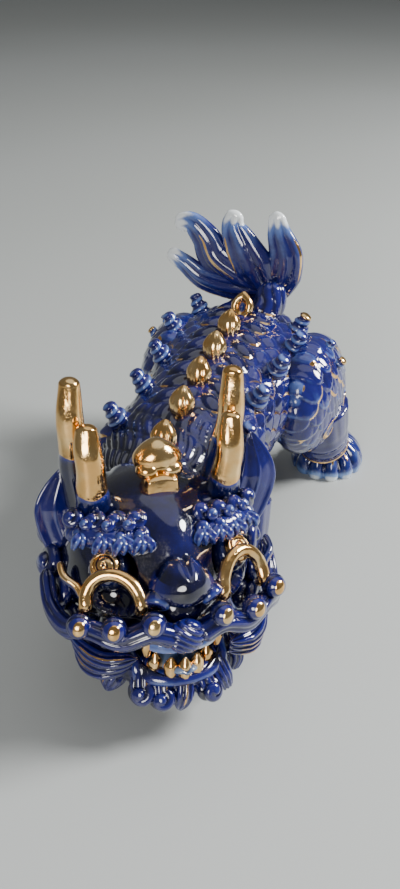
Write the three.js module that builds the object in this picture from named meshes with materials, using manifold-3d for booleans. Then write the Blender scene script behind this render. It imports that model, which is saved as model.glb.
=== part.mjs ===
// Porcelain guardian beast, about 25 cm long: hollow cast trunk, turned head, and hand-luted sprigs.
// Millimetres, +Z up. The beast's rump faces +Y and its head end faces -Y; its own left side is +X.
import * as THREE from "three";
import { mergeVertices } from "three/addons/utils/BufferGeometryUtils.js";
import Module from "manifold-3d";

const wasm = await Module();
wasm.setup();

// ---- Driving dimensions -------------------------------------------------------------------
const LUTING_GAP = 0.3; // the slip joint left between two luted pieces
const WALL = 5; // cast wall of the trunk
const VENT_RADIUS = 1.6; // firing vent under the belly, and the air way through the neck
const FINENESS = 0.5; // share of the facets asked for on each rounded form

const TRUNK = {
  middleY: 19, halfLength: 84, waist: 36, hipSwell: 13, hipY: 66, shoulderSwell: 6, shoulderY: -30,
  spineHeight: 87.5, spineSlope: 0.12, belly: 29, neckRise: 20, neckY: -62, endFullness: 0.42,
};
const HEAD_CENTRE = new THREE.Vector3(10, -85, 54);
const HEAD_TURN = 38; // degrees towards the beast's left
const HEAD_LIFT = 9; // degrees, muzzle up
const HEAD_ROLL = 4.7; // degrees, left cheek down

const SKULL = { width: 39, depth: 37, height: 35, snout: 13, cheek: 0.1, floor: -25 };
const EYE = { x: 24, forward: 26, z: 6.5, radius: 8.6 };
const GAZE = { out: 0.45, forward: 0.62, up: 0.64 };
const PUPIL_RADIUS = 6.2;
const LID = { x: 26.3, forward: 42, z: 0.3, reach: 10, rise: 11.5, tilt: 1.3, band: 2.7 };
const HORN = { foot: 7.2, tip: 4.4 };
const PLATE = { width: 6.4, thickness: 4.2, height: 8.2, lean: 24 };
const PLATE_FIRST_Y = -46;
const PLATE_PITCH = 23.3;
const PLATE_COUNT = 6;
const KNOB = { radius: 6.4, height: 12.8 };
const RIGHT_KNOB_Y = [-28, 0, 28, 56, 82];
const LEFT_KNOB_Y = [-24, 5, 33, 57, 77];
const HIND_PAW_Y = 80;
const TAIL_ROOT = new THREE.Vector3(13, 94, 92);

// ---- Finishes -----------------------------------------------------------------------------
const finish = (color, roughness, metalness) =>
  new THREE.MeshStandardMaterial({ color, roughness, metalness });
const cobalt = () => finish(0x1d2f86, 0.12, 0);
const paleCobalt = () => finish(0x5f86c4, 0.14, 0);
const gilt = () => finish(0xc8913f, 0.2, 1);
const tongueBlue = () => finish(0x8295ad, 0.2, 0);

// ---- Geometry helpers ---------------------------------------------------------------------
const radians = THREE.MathUtils.degToRad;
const bump = (value, centre, spread) => Math.exp(-(((value - centre) / spread) ** 2));

/** A geometry's bare positions with every shared corner merged. */
function bare(geometry) {
  geometry.deleteAttribute("normal");
  geometry.deleteAttribute("uv");
  return mergeVertices(geometry, 1e-4);
}

/** Moves every vertex of a geometry through a function of its position. */
function warp(geometry, move) {
  const place = geometry.attributes.position;
  const point = new THREE.Vector3();
  for (let i = 0; i < place.count; i += 1) {
    move(point.fromBufferAttribute(place, i));
    place.setXYZ(i, point.x, point.y, point.z);
  }
  return geometry;
}

/** The number of facets round or along a form, after FINENESS. */
const facets = (wanted) => Math.max(5, Math.round(wanted * FINENESS));

/** A unit ball with its poles on Z, warped into a form. */
function ball(sides, rings, move) {
  const sphere = new THREE.SphereGeometry(1, facets(sides), facets(rings)).rotateX(Math.PI / 2);
  return warp(bare(sphere), move);
}

/** An ellipsoid lobe of given half sizes about a centre. */
function lobe(centre, halfSize, sides = 12, rings = 8) {
  return ball(sides, rings, (p) => p.multiply(halfSize).add(centre));
}

/** A tapered limb along a curve: radius(t) is its half width, flatness its depth over its width. */
function limb(points, radius, { sides = 12, rings = 14, flatness = 1, across = [0, 1, 0] } = {}) {
  const curve = new THREE.CatmullRomCurve3(points.map((p) => new THREE.Vector3(...p)));
  const reference = new THREE.Vector3(...across);
  return ball(sides, rings, (p) => {
    const t = Math.acos(THREE.MathUtils.clamp(p.z, -1, 1)) / Math.PI;
    const ring = Math.max(Math.hypot(p.x, p.y), 1e-9);
    const width = t < 1e-6 || t > 1 - 1e-6 ? 0 : radius(t) / ring;
    const tangent = curve.getTangent(t);
    const side = new THREE.Vector3().crossVectors(reference, tangent).normalize();
    const depth = new THREE.Vector3().crossVectors(tangent, side);
    const [a, b] = [p.x * width, p.y * width * flatness];
    p.copy(curve.getPoint(t)).addScaledVector(side, a).addScaledVector(depth, b);
  });
}

/** Rounds a limb's two ends: 0 at the very end, 1 from `portion` of the length inwards. */
function roundEnds(t, portion = 0.12) {
  const inwards = Math.min(t, 1 - t, portion) / portion;
  return Math.sqrt(Math.max(1 - (1 - inwards) ** 2, 0));
}

/** The value at t of a list of evenly spaced values, joined by straight lines. */
function blended(values, t) {
  const place = THREE.MathUtils.clamp(t, 0, 1) * (values.length - 1);
  const first = Math.min(Math.floor(place), values.length - 2);
  return THREE.MathUtils.lerp(values[first], values[first + 1], place - first);
}

/** A geometry as a solid with its faces pointing out. */
function solid(geometry) {
  const corners = new Float32Array(geometry.attributes.position.array);
  const faces = new Uint32Array(geometry.index.array);
  const meshOf = () => new wasm.Mesh({ numProp: 3, vertProperties: corners, triVerts: faces });
  const build = () => new wasm.Manifold(meshOf());
  const made = build();
  if (made.volume() > 0) return made;
  for (let i = 0; i < faces.length; i += 3) [faces[i + 1], faces[i + 2]] = [faces[i + 2], faces[i + 1]];
  return build();
}

/** A solid back as a geometry. */
function geometryOf(made) {
  const mesh = made.getMesh();
  const geometry = new THREE.BufferGeometry();
  geometry.setAttribute("position", new THREE.BufferAttribute(new Float32Array(mesh.vertProperties), 3));
  geometry.setIndex(new THREE.BufferAttribute(new Uint32Array(mesh.triVerts), 1));
  return geometry;
}

/** Several overlapping geometries joined into one body. */
function joined(...geometries) {
  return geometryOf(geometries.map(solid).reduce((sum, next) => sum.add(next)));
}

/** A geometry swollen along its vertex normals, the room that a luted neighbour keeps to it. */
function swollen(geometry, amount = LUTING_GAP + 0.08) {
  const copy = geometryOf(solid(geometry));
  copy.computeVertexNormals();
  const [place, normal] = [copy.attributes.position, copy.attributes.normal];
  for (let i = 0; i < place.count; i += 1) {
    place.setXYZ(
      i,
      place.getX(i) + normal.getX(i) * amount,
      place.getY(i) + normal.getY(i) * amount,
      place.getZ(i) + normal.getZ(i) * amount,
    );
  }
  copy.deleteAttribute("normal");
  return copy;
}

/** The largest separate body of a solid. */
function largest(made) {
  return made.decompose().reduce((best, next) => (next.volume() > best.volume() ? next : best));
}

const touches = (a, b) => [0, 1, 2].every((i) => a.min[i] < b.max[i] && b.min[i] < a.max[i]);

/** A bench on which pieces are luted in order: each new piece is scraped to fit those before it. */
class Bench {
  constructor(group) {
    this.group = group;
    this.fixed = [];
  }

  keepClearOf(geometry) {
    this.fixed.push(solid(swollen(geometry)));
  }

  lute(name, geometry, material, scraper = geometry) {
    let made = solid(geometry);
    for (const other of this.fixed) {
      if (touches(made.boundingBox(), other.boundingBox())) made = made.subtract(other);
    }
    const mesh = new THREE.Mesh(geometryOf(largest(made)), material);
    mesh.name = name;
    this.group.add(mesh);
    if (scraper) this.keepClearOf(scraper);
  }
}

const mirrored = (side, name) => `${name}_${side > 0 ? "left" : "right"}`;
const SIDES = [-1, 1];

// ---- Trunk --------------------------------------------------------------------------------
/** Half width, top and underside of the trunk at a distance along the body. */
function trunkSection(y) {
  const width = TRUNK.waist + TRUNK.hipSwell * bump(y, TRUNK.hipY, 34)
    + TRUNK.shoulderSwell * bump(y, TRUNK.shoulderY, 22);
  const top = TRUNK.spineHeight + TRUNK.spineSlope * y;
  const under = TRUNK.belly + TRUNK.neckRise * bump(y, TRUNK.neckY - 12, 30);
  return { width, middle: (top + under) / 2, height: (top - under) / 2 };
}

/** The point of the trunk's skin at distance y and at an angle from the spine, towards +X. */
function trunkPoint(y, angle, inset = 0) {
  const along = THREE.MathUtils.clamp((y - TRUNK.middleY) / TRUNK.halfLength, -1, 1);
  const ring = Math.sqrt(1 - along * along) ** TRUNK.endFullness;
  const { width, middle, height } = trunkSection(y);
  const wide = (width - inset) * ring * Math.sin(angle);
  const high = (height - inset) * ring * Math.cos(angle);
  return new THREE.Vector3(wide, y, middle + high);
}

/** The outward direction of the trunk's skin there. */
function trunkNormal(y, angle) {
  const step = 0.02;
  const round = trunkPoint(y, angle + step).sub(trunkPoint(y, angle - step));
  const along = trunkPoint(y + 0.5, angle).sub(trunkPoint(y - 0.5, angle));
  return new THREE.Vector3().crossVectors(along, round).normalize();
}

function trunkForm(sides, rings, inset) {
  const reach = TRUNK.halfLength - inset;
  return warp(bare(new THREE.SphereGeometry(1, facets(sides), facets(rings))), (p) => {
    const along = THREE.MathUtils.clamp(p.y, -1, 1);
    const y = TRUNK.middleY + reach * along;
    const ring = Math.sqrt(Math.max(1 - along * along, 0));
    const fullness = ring > 1e-6 ? ring ** (TRUNK.endFullness - 1) : 0;
    const { width, middle, height } = trunkSection(y);
    p.set((width - inset) * p.x * fullness, y, middle + (height - inset) * p.z * fullness);
  });
}

function trunkShell() {
  const outside = solid(trunkForm(40, 26, 0));
  const inside = solid(trunkForm(24, 14, WALL));
  const vent = solid(bare(new THREE.CylinderGeometry(VENT_RADIUS, VENT_RADIUS, 30, 12)
    .rotateX(Math.PI / 2).translate(0, TRUNK.middleY, TRUNK.belly)));
  return geometryOf(outside.subtract(inside).subtract(vent).subtract(solid(neckAirWay())));
}

/** The narrow air way from the head's hollow through the neck joint into the trunk. */
function neckAirWay() {
  const [start, end] = [new THREE.Vector3(4, -80, 60), new THREE.Vector3(0, -42, 66)];
  const along = end.clone().sub(start);
  const direction = along.clone().normalize();
  const upright = new THREE.Quaternion().setFromUnitVectors(new THREE.Vector3(0, 1, 0), direction);
  const rod = bare(new THREE.CylinderGeometry(VENT_RADIUS, VENT_RADIUS, along.length(), 8));
  const middle = start.lerp(end, 0.5);
  return rod.applyQuaternion(upright).translate(middle.x, middle.y, middle.z);
}

// ---- Legs ---------------------------------------------------------------------------------
/** A domed paw on a level sole with a scalloped row of toes, turned outwards by an angle in degrees. */
function paw(side, centreX, centreY, halfWidth, halfLength, turn) {
  const toes = 5;
  const upright = new THREE.Vector3(0, 0, 1);
  return ball(30, 14, (p) => {
    const heading = Math.atan2(p.x, -p.y);
    const front = bump(heading, 0, 1.5);
    const scallop = 1 + 0.09 * front * (Math.abs(Math.cos(heading * toes * 0.52)) - 0.5);
    const height = 22 - 8 * Math.max(-p.y, 0);
    p.set(p.x * halfWidth * scallop, p.y * halfLength * scallop, Math.max(p.z, 0) * height);
    p.applyAxisAngle(upright, radians(turn * side)).add(new THREE.Vector3(side * centreX, centreY, 0));
  });
}

function hindLeg(side) {
  const out = side > 0 ? 6 : -2;
  const thigh = lobe(
    new THREE.Vector3(side * (36 + out), 62, 55), new THREE.Vector3(20, 37, 33), 24, 18,
  );
  const shin = limb(
    [[side * (40 + out), 64, 48], [side * (44 + out), 68, 30], [side * (46 + out), 76, 12]],
    (t) => roundEnds(t, 0.1) * blended([19, 15, 12.5, 12.5], t), { sides: 18, rings: 14 },
  );
  return joined(thigh, shin);
}

function foreLeg(side) {
  const shoulder = lobe(new THREE.Vector3(side * 31, -26, 50), new THREE.Vector3(14, 19, 24), 18, 12);
  const shin = limb(
    [[side * 33, -30, 48], [side * 35, -36, 30], [side * 36, -40, 12]],
    (t) => roundEnds(t, 0.1) * (15 - 3 * t), { sides: 16, rings: 12 },
  );
  return joined(shoulder, shin);
}

// ---- Sprigs along the body ----------------------------------------------------------------
/** A ribbed bud that stands on the spine, leaning back; a hooded one is hollow in front. */
function spinePlate(y, hooded) {
  const ribs = 3;
  const bud = ball(16, 10, (p) => {
    const taper = 1 - 0.45 * Math.max(p.z, 0) ** 2;
    const rib = 1 + 0.1 * Math.cos(ribs * Math.PI * p.x) * Math.max(-p.y, 0);
    p.set(p.x * PLATE.width * taper, p.y * PLATE.thickness * taper * rib, p.z * PLATE.height);
  });
  const placed = bud.rotateX(radians(-PLATE.lean)).translate(0, y, trunkPoint(y, 0).z + 4.6);
  if (!hooded) return placed;
  const hollow = ball(10, 6, (p) => p.multiply(new THREE.Vector3(3.6, 4, 5.2)))
    .rotateX(radians(-PLATE.lean)).translate(0, y - 5, trunkPoint(y, 0).z + 5);
  return geometryOf(solid(placed).subtract(solid(hollow)));
}

/** A tiered knob turned about its own axis, standing on a point along a direction. */
function knob(foot, direction, scale) {
  const { radius, height } = KNOB;
  const profile = [
    [0, -0.3], [0.94, -0.3], [1, 0.05], [0.98, 0.2], [0.84, 0.34], [0.84, 0.48],
    [0.64, 0.6], [0.66, 0.74], [0.42, 0.86], [0.36, 0.95], [0, 1],
  ].map(([across, up]) => new THREE.Vector2(across * radius * scale, up * height * scale));
  const turned = bare(new THREE.LatheGeometry(profile, facets(16)));
  const upright = new THREE.Quaternion().setFromUnitVectors(new THREE.Vector3(0, 1, 0), direction);
  return turned.applyQuaternion(upright).translate(foot.x, foot.y, foot.z);
}

function flankKnob(y, side) {
  const angle = side * (0.84 - 0.0008 * (y - 20));
  const upwards = trunkNormal(y, angle).add(new THREE.Vector3(0, -0.15, 0.4)).normalize();
  return knob(trunkPoint(y, angle), upwards, 1);
}

function haunchKnob(side, order) {
  const out = side > 0 ? 6 : -2;
  const foot = new THREE.Vector3(side * (43 + out + 5 * order), 66 - 3 * order, 81 - 8 * order);
  const direction = new THREE.Vector3(side * (0.7 + 0.4 * order), -0.1, 1).normalize();
  return knob(foot, direction, 0.62 + 0.1 * order);
}

// ---- Tail ---------------------------------------------------------------------------------
function tailStalk({ x, y, z }) {
  return limb(
    [[x - 7, y - 16, z - 8], [x - 2, y - 6, z + 2], [x - 3, y, z + 13]],
    (t) => roundEnds(t, 0.25) * (10 - 2 * t), { sides: 14, rings: 12 },
  );
}

/** The flame tail: a stalk, and four lobes that sweep from it with their crests drawn to points. */
function flameTail() {
  const { x, y, z } = TAIL_ROOT;
  const lobes = [
    { path: [[-6, 6], [-26, 6], [-44, 9], [-56, 16.5], [-66, 22]], half: [6, 8.5, 8, 6, 4.2] },
    {
      path: [[-2, 7], [-22, 13.5], [-37, 22], [-44, 33], [-53, 40], [-62, 38]],
      half: [7, 12.5, 11.5, 9, 6.6, 4.6],
    },
    { path: [[-5, 4], [-14, 19], [-22, 31], [-27, 42], [-25, 50.5]], half: [7, 13, 11, 7.4, 4] },
    { path: [[-2, 2], [2.4, 16], [3, 28], [-1, 40], [-3, 52]], half: [7, 11, 10.4, 7.4, 3.8] },
  ];
  return joined(tailStalk(TAIL_ROOT), ...lobes.map(({ path, half }, order) => limb(
    path.map(([across, up]) => [x + across, y + 1.5 * (order % 2), z + up]),
    (t) => roundEnds(t, 0.08) * blended(half, t),
    { sides: 14, rings: 22, flatness: 0.5 },
  )));
}

// ---- The two frames: the beast's and, inside it, the head's ---------------------------------
const beast = new THREE.Group();
const headGroup = new THREE.Group();
headGroup.position.copy(HEAD_CENTRE);
headGroup.rotation.set(radians(-HEAD_LIFT), radians(HEAD_ROLL), radians(HEAD_TURN), "ZXY");
headGroup.updateMatrix();
beast.add(headGroup);
const intoHeadFrame = headGroup.matrix.clone().invert();

// ---- Head, in its own frame: origin at the head's centre, face towards -Y --------------------
const at = (x, forward, z) => new THREE.Vector3(x, -forward, z);

function mouthHollow(room = 0) {
  return lobe(at(0, 43, -23), new THREE.Vector3(18 + room, 28 + room, 8.5 + room), 20, 12);
}

function skullForm() {
  return ball(36, 26, (p) => {
    const front = Math.max(-p.y, 0);
    const snout = SKULL.snout * front * bump(p.x, 0, 0.5) * bump(p.z, -0.22, 0.42);
    const cheek = 1 + SKULL.cheek * bump(p.z, -0.35, 0.35);
    const z = p.z * SKULL.height;
    p.set(p.x * SKULL.width * cheek, p.y * SKULL.depth - snout, Math.max(z, SKULL.floor + 0.15 * z));
  });
}

/** The eye sockets and the hollows under the lids, both sides; a positive room widens them. */
function faceHollows(room = 0) {
  return SIDES.flatMap((side) => [
    lobe(
      at(side * EYE.x, EYE.forward + 1.5, EYE.z),
      new THREE.Vector3(10.5 + room, 9.5 + room, 10 + room), 16, 10,
    ),
    lobe(at(side * LID.x, 35, -3), new THREE.Vector3(9.5 + room, 10 + room, 8 + room), 14, 8),
  ]);
}

/** The skull with its mouth, sockets, cast hollow and air way taken out. */
function skull() {
  const hollow = lobe(at(0, -10, 5), new THREE.Vector3(24, 17, 20), 18, 12);
  const cuts = [mouthHollow(), ...faceHollows(), hollow, neckAirWay().applyMatrix4(intoHeadFrame)];
  return geometryOf(largest(cuts.reduce((left, cut) => left.subtract(solid(cut)), solid(skullForm()))));
}

/** The room that sprigs in and on the face keep to the skull: its swollen form, still hollowed. */
function skullScraper() {
  const cuts = [mouthHollow(-LUTING_GAP), ...faceHollows(-LUTING_GAP)];
  return cuts.reduce((left, cut) => left.subtract(solid(cut)), solid(swollen(skullForm())));
}

function lowerJaw() {
  const jaw = ball(26, 14, (p) => {
    p.set(p.x * 30, p.y * 33 - 19, p.z * 15 - 33);
  });
  return geometryOf(solid(jaw).subtract(solid(mouthHollow())));
}

function lowerTeeth() {
  const gum = limb(
    [[-13, -43, -31], [-7.5, -48, -31.6], [0, -49.5, -32], [7.5, -48, -31.6], [13, -43, -31]],
    (t) => roundEnds(t, 0.08) * 2.1, { sides: 8, rings: 14, across: [0, 0, 1] },
  );
  const teeth = [-2, -1, 0, 1, 2].map((order) => {
    const forward = 49.5 - 1.5 * order * order;
    const tooth = bare(new THREE.ConeGeometry(2.9, 9, 8)).rotateX(Math.PI / 2 - 0.1);
    return tooth.translate(order * 5.4, -forward, -28);
  });
  return joined(gum, ...teeth);
}

function fang(side) {
  const tooth = bare(new THREE.ConeGeometry(2.6, 10, 8)).rotateX(-Math.PI / 2);
  return tooth.translate(side * 14.5, -45, -19);
}

function nose() {
  const bridge = ball(22, 12, (p) => {
    const wing = 0.9 + 0.26 * bump(p.z, -0.5, 0.6);
    p.set(p.x * 13 * wing, p.y * 11.8 - 43, p.z * 9 + 7.5);
  });
  const wings = SIDES.map((side) => lobe(at(side * 10, 46, 3.5), new THREE.Vector3(5, 5.5, 4.6), 12, 8));
  return joined(bridge, ...wings);
}

function pupilRing(side) {
  const r = PUPIL_RADIUS;
  const profile = [
    [0, 0.2], [0.18, 0.34], [0.34, 0.2], [0.5, 0.06], [0.72, 0.16], [0.86, 0.34], [1, 0.1],
    [0.94, -0.3], [0.4, -0.42], [0, -0.42],
  ].reverse().map(([across, up]) => new THREE.Vector2(across * r, up * r));
  const gaze = new THREE.Vector3(side * GAZE.out, -GAZE.forward, GAZE.up).normalize();
  const facing = new THREE.Quaternion().setFromUnitVectors(new THREE.Vector3(0, 1, 0), gaze);
  const seat = at(side * EYE.x, EYE.forward, EYE.z).addScaledVector(gaze, EYE.radius - 0.6);
  const turned = bare(new THREE.LatheGeometry(profile, facets(20)));
  return turned.applyQuaternion(facing).translate(seat.x, seat.y, seat.z);
}

/** The gilt lower lid: a leaning hoop whose feet run back under it, and the eye's wavy outer corner. */
function lowerLid(side) {
  const steps = 8;
  const points = [[side * (LID.x + LID.reach), -33, -5]];
  for (let i = 0; i <= steps; i += 1) {
    const angle = Math.PI * (i / steps);
    const [c, s] = [Math.cos(angle), Math.sin(angle)];
    const forward = LID.forward - 4.2 * c - 6 * s;
    const level = LID.z - 0.9 * c + (LID.rise + LID.tilt * side) * s;
    points.push([side * (LID.x + LID.reach * c), -forward, level]);
  }
  points.push([side * (LID.x - LID.reach), -41, -5]);
  const hoop = limb(points, (t) => roundEnds(t, 0.06) * LID.band, { sides: 10, rings: 26 });
  const edge = [[36, -37, -1], [38.5, -32, 4], [42.5, -28, 7], [43, -21, 9.5]];
  const corner = limb(
    edge.map(([x, y, z]) => [side * x, y, z]),
    (t) => roundEnds(t, 0.1) * 1.7, { sides: 10, rings: 14, across: [0, 0, 1] },
  );
  return joined(hoop, corner);
}

function brow(side) {
  const ridge = limb(
    [[side * 9, -29, 18], [side * 20, -28, 20], [side * 31, -22, 20], [side * 38, -12, 18]],
    (t) => roundEnds(t, 0.12) * 4.4, { sides: 12, rings: 14, across: [0, 0, 1] },
  );
  const curls = [0, 1, 2, 3].map((order) => {
    const t = order / 3;
    const seat = at(side * (13 + 24 * t), 21 - 9 * t * t, 27 - 1.5 * t);
    return lobe(seat, new THREE.Vector3(4.4, 4.4, 4.4), 12, 8);
  });
  const second = [0, 1, 2, 3].map((order) => {
    const t = order / 3;
    const seat = at(side * (14 + 21 * t), 28 - 9 * t * t, 22.5 - t);
    return lobe(seat, new THREE.Vector3(3.8, 3.8, 3.8), 12, 8);
  });
  return joined(ridge, ...curls, ...second);
}

/** A blunt prong that thins evenly from its foot. */
function horn(side, path) {
  return limb(
    path.map(([x, y, z]) => [side * x, y, z]),
    (t) => roundEnds(t, 0.08) * THREE.MathUtils.lerp(HORN.foot, HORN.tip, t), { sides: 16, rings: 18 },
  );
}

const hornFront = (side) => horn(side, [[27, -8, 24], [28, -11, 37], [29, -11.5, 50], [29.5, -9, 62.5]]);
const hornRear = (side) => horn(side, [[29, 7, 18], [32, 5.5, 40], [33.5, 1, 58], [33.5, 1.5, 78]]);

/** A leaf-shaped ear that sweeps out, back and up, and is hollowed along its front. */
function ear(side) {
  return limb(
    side > 0
      ? [[36, 2, 0], [44, 4, 9], [49.5, 6, 24], [46, 9, 44]]
      : [[-30, 2, -4], [-37, 3, 5], [-40.5, 6, 19], [-36, 9, 36]],
    (t) => roundEnds(t, 0.3) * blended([6, 8.5, 8.5, 4], t), { sides: 16, rings: 16, flatness: 0.42 },
  );
}

/** The moustache: a wavy band with three ball curls. */
function moustache(side) {
  const band = limb(
    [
      [side * 4, -53, -11], [side * 14, -52, -7], [side * 25, -49, -11], [side * 35, -42, -9],
      [side * 43, -32, -13], [side * 47, -20, -10], [side * 47, -10, 1],
    ],
    (t) => roundEnds(t, 0.06) * (5 - 1.6 * t), { sides: 12, rings: 28, across: [0, 0, 1] },
  );
  const outer = side > 0 ? [40, 40, -3] : [39.5, 41, -7];
  const balls = [[13.5, 53, -3], [28, 49.5, -5], outer].map(([x, forward, z]) =>
    lobe(at(side * x, forward, z), new THREE.Vector3(5.3, 5.3, 5.3), 14, 10));
  return joined(band, ...balls);
}

function whiskerTuft() {
  return ball(20, 10, (p) => {
    const strand = 1 + 0.08 * Math.cos(9 * Math.PI * p.z);
    p.set(p.x * 8 - 1, p.y * 5 * strand - 54, p.z * 7.5 - 10);
  });
}

/** Hanging drop-shaped locks, each curled at its end, fanned round the jaw. */
function locks(angles, reach, top, drop, size) {
  return joined(...angles.map((angle, order) => {
    const turn = radians(angle);
    const [x, y] = [Math.sin(turn) * reach, -Math.cos(turn) * (reach + 8) - 9];
    const swing = order % 2 === 0 ? 2.2 : -2.2;
    const low = top - drop + 0.04 * Math.abs(angle);
    return limb(
      [[x * 0.72, y * 0.82, top + 3], [x * 0.93, y * 0.97, top - drop * 0.35], [x + swing, y - 1, low]],
      (t) => roundEnds(t, 0.2) * size * (0.85 + 0.3 * Math.sin(Math.PI * t)),
      { sides: 12, rings: 10, across: [Math.cos(turn), Math.sin(turn), 0] },
    );
  }));
}

/** Three spiral curls behind the moustache that carry the mane up to the ear. */
function templeCurls(side) {
  const seats = [[38, 17, -22], [41, 9, -12], [43, -1, -3], [41, -12, 6]];
  return joined(...seats.map(([x, forward, z]) =>
    lobe(at(side * x, forward, z), new THREE.Vector3(7, 8.2, 8.2), 14, 10)));
}

/** The crest on the brow: a two-lobed cap over a square stem. */
function foreheadCrest() {
  const stem = ball(14, 10, (p) => {
    const square = 1 / Math.max(Math.abs(p.x), Math.abs(p.y), Math.abs(p.z)) ** 0.45;
    p.set(p.x * 7.8 * square, p.y * 4.5 * square - 12, p.z * 9 * square + 30);
  });
  const cap = ball(22, 14, (p) => {
    const notch = 1 - 0.3 * bump(p.x, 0, 0.28) * Math.max(-p.z, 0);
    const narrow = 1 - 0.38 * Math.max(p.z, 0) ** 1.5;
    p.set(p.x * 10.4 * narrow, p.y * 7.5 - 5.5, p.z * 10.5 * notch + 41);
  });
  return joined(stem, cap);
}

// ---- Assembly -----------------------------------------------------------------------------
const bodyBench = new Bench(beast);
const headBench = new Bench(headGroup);
const bodyForms = [];

function luteOnBody(name, geometry, material, form = geometry) {
  bodyForms.push(form);
  bodyBench.lute(name, geometry, material, form);
}

luteOnBody("trunk_shell", trunkShell(), cobalt(), trunkForm(40, 26, 0));
for (const side of SIDES) {
  luteOnBody(mirrored(side, "hind_leg"), hindLeg(side), cobalt());
  luteOnBody(mirrored(side, "foreleg"), foreLeg(side), cobalt());
}
for (const side of SIDES) {
  const [centreX, turn] = side > 0 ? [53, 22] : [44, 10];
  luteOnBody(mirrored(side, "hind_paw"), paw(side, centreX, HIND_PAW_Y, 22, 23, turn), paleCobalt());
  luteOnBody(mirrored(side, "front_paw"), paw(side, 35, -43, 17, 19, 8), paleCobalt());
}
for (let i = 0; i < PLATE_COUNT; i += 1) {
  const y = PLATE_FIRST_Y + PLATE_PITCH * i;
  luteOnBody(`spine_plate_${i + 1}`, spinePlate(y, i === PLATE_COUNT - 1), gilt());
}
luteOnBody("flame_tail", flameTail(), cobalt());
for (const side of SIDES) {
  const places = side > 0 ? LEFT_KNOB_Y : RIGHT_KNOB_Y;
  places.forEach((y, i) => luteOnBody(mirrored(side, `flank_knob_${i + 1}`), flankKnob(y, side), cobalt()));
  for (const order of [0, 1]) {
    luteOnBody(mirrored(side, `haunch_knob_${order + 1}`), haunchKnob(side, order), cobalt());
  }
}

for (const form of bodyForms) headBench.keepClearOf(form.clone().applyMatrix4(intoHeadFrame));
headBench.lute("head_shell", skull(), cobalt(), null);
headBench.fixed.push(skullScraper());
headBench.lute("lower_jaw", lowerJaw(), cobalt());
headBench.lute("tongue", lobe(at(0, 39, -29.5), new THREE.Vector3(9, 15, 3.6), 16, 8), tongueBlue());
headBench.lute("lower_tooth_row", lowerTeeth(), gilt());
headBench.lute("nose", nose(), cobalt());
headBench.lute("whisker_tuft", whiskerTuft(), cobalt());
headBench.lute("forehead_crest", foreheadCrest(), gilt());
for (const side of SIDES) {
  const seat = at(side * EYE.x, EYE.forward, EYE.z);
  const eyeball = lobe(seat, new THREE.Vector3(EYE.radius, EYE.radius, EYE.radius), 20, 12);
  headBench.lute(mirrored(side, "eyeball"), eyeball, cobalt());
  headBench.lute(mirrored(side, "pupil_ring"), pupilRing(side), gilt());
  headBench.lute(mirrored(side, "horn_front"), hornFront(side), gilt());
  headBench.lute(mirrored(side, "horn_rear"), hornRear(side), gilt());
  headBench.lute(mirrored(side, "brow"), brow(side), cobalt());
  headBench.lute(mirrored(side, "lower_lid"), lowerLid(side), gilt());
  headBench.lute(mirrored(side, "moustache"), moustache(side), cobalt());
  headBench.lute(mirrored(side, "upper_fang"), fang(side), gilt());
  headBench.lute(mirrored(side, "ear"), ear(side), cobalt());
  headBench.lute(mirrored(side, "temple_curls"), templeCurls(side), cobalt());
  const angles = [30, 52, 74, 97].map((angle) => side * angle);
  headBench.lute(mirrored(side, "cheek_locks"), locks(angles, 33, -32, 15, 7.6), cobalt());
}
headBench.lute("chin_locks", locks([-17, 0, 17], 33, -34, 14, 6.8), cobalt());

// The origin goes to the middle of the whole beast's footprint, at the level of its soles.
const group = new THREE.Group();
group.add(beast);
const box = new THREE.Box3().setFromObject(beast, true);
beast.position.set(-(box.min.x + box.max.x) / 2, -(box.min.y + box.max.y) / 2, -box.min.z);

export default group;
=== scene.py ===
"""A cobalt-blue, gilded porcelain guardian beast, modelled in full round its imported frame.

Forms are worked out in millimetres in the beast's design frame (face towards -Y, its own left
towards +X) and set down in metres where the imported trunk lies. A skin is a closed grid of
points: rings run from pole to pole and sides run round, so both poles and the seam are closed.
"""

import logging
import math
from dataclasses import dataclass
from enum import Enum
from typing import Callable, Sequence

import bpy
import numpy as np
from mathutils import Matrix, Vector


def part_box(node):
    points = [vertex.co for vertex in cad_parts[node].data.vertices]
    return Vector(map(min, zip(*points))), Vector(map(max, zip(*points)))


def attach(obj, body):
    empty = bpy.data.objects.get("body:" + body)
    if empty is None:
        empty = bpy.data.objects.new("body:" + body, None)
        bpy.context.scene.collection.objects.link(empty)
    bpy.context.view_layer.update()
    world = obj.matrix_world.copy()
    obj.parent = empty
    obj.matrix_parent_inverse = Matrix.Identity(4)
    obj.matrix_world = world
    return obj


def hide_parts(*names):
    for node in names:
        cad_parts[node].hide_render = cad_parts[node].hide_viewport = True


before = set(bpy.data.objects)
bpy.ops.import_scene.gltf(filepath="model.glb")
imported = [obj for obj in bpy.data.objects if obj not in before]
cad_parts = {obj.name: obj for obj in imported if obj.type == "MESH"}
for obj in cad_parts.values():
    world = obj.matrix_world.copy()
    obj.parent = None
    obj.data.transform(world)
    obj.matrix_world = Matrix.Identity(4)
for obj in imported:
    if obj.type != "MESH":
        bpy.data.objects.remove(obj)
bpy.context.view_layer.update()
LOG = logging.getLogger("beast")
Array = np.ndarray
Coat = tuple[Array, Array, Array]  # height in millimetres, thin mask, gilt mask
Relief = Callable[[Array, Array], Coat]
Socket = bpy.types.NodeSocket
MM = 0.001
MISS = 1e3  # millimetres that stand for a ray that meets nothing
UP = (0, 0, 1)


# ---- Numbers that every part uses -----------------------------------------------------------
def bump(value: Array | float, centre: float, spread: float) -> Array | float:
    """A bell: 1 at the centre, falling as exp(-(distance / spread) squared)."""
    return np.exp(-(((value - centre) / spread) ** 2))


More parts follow.
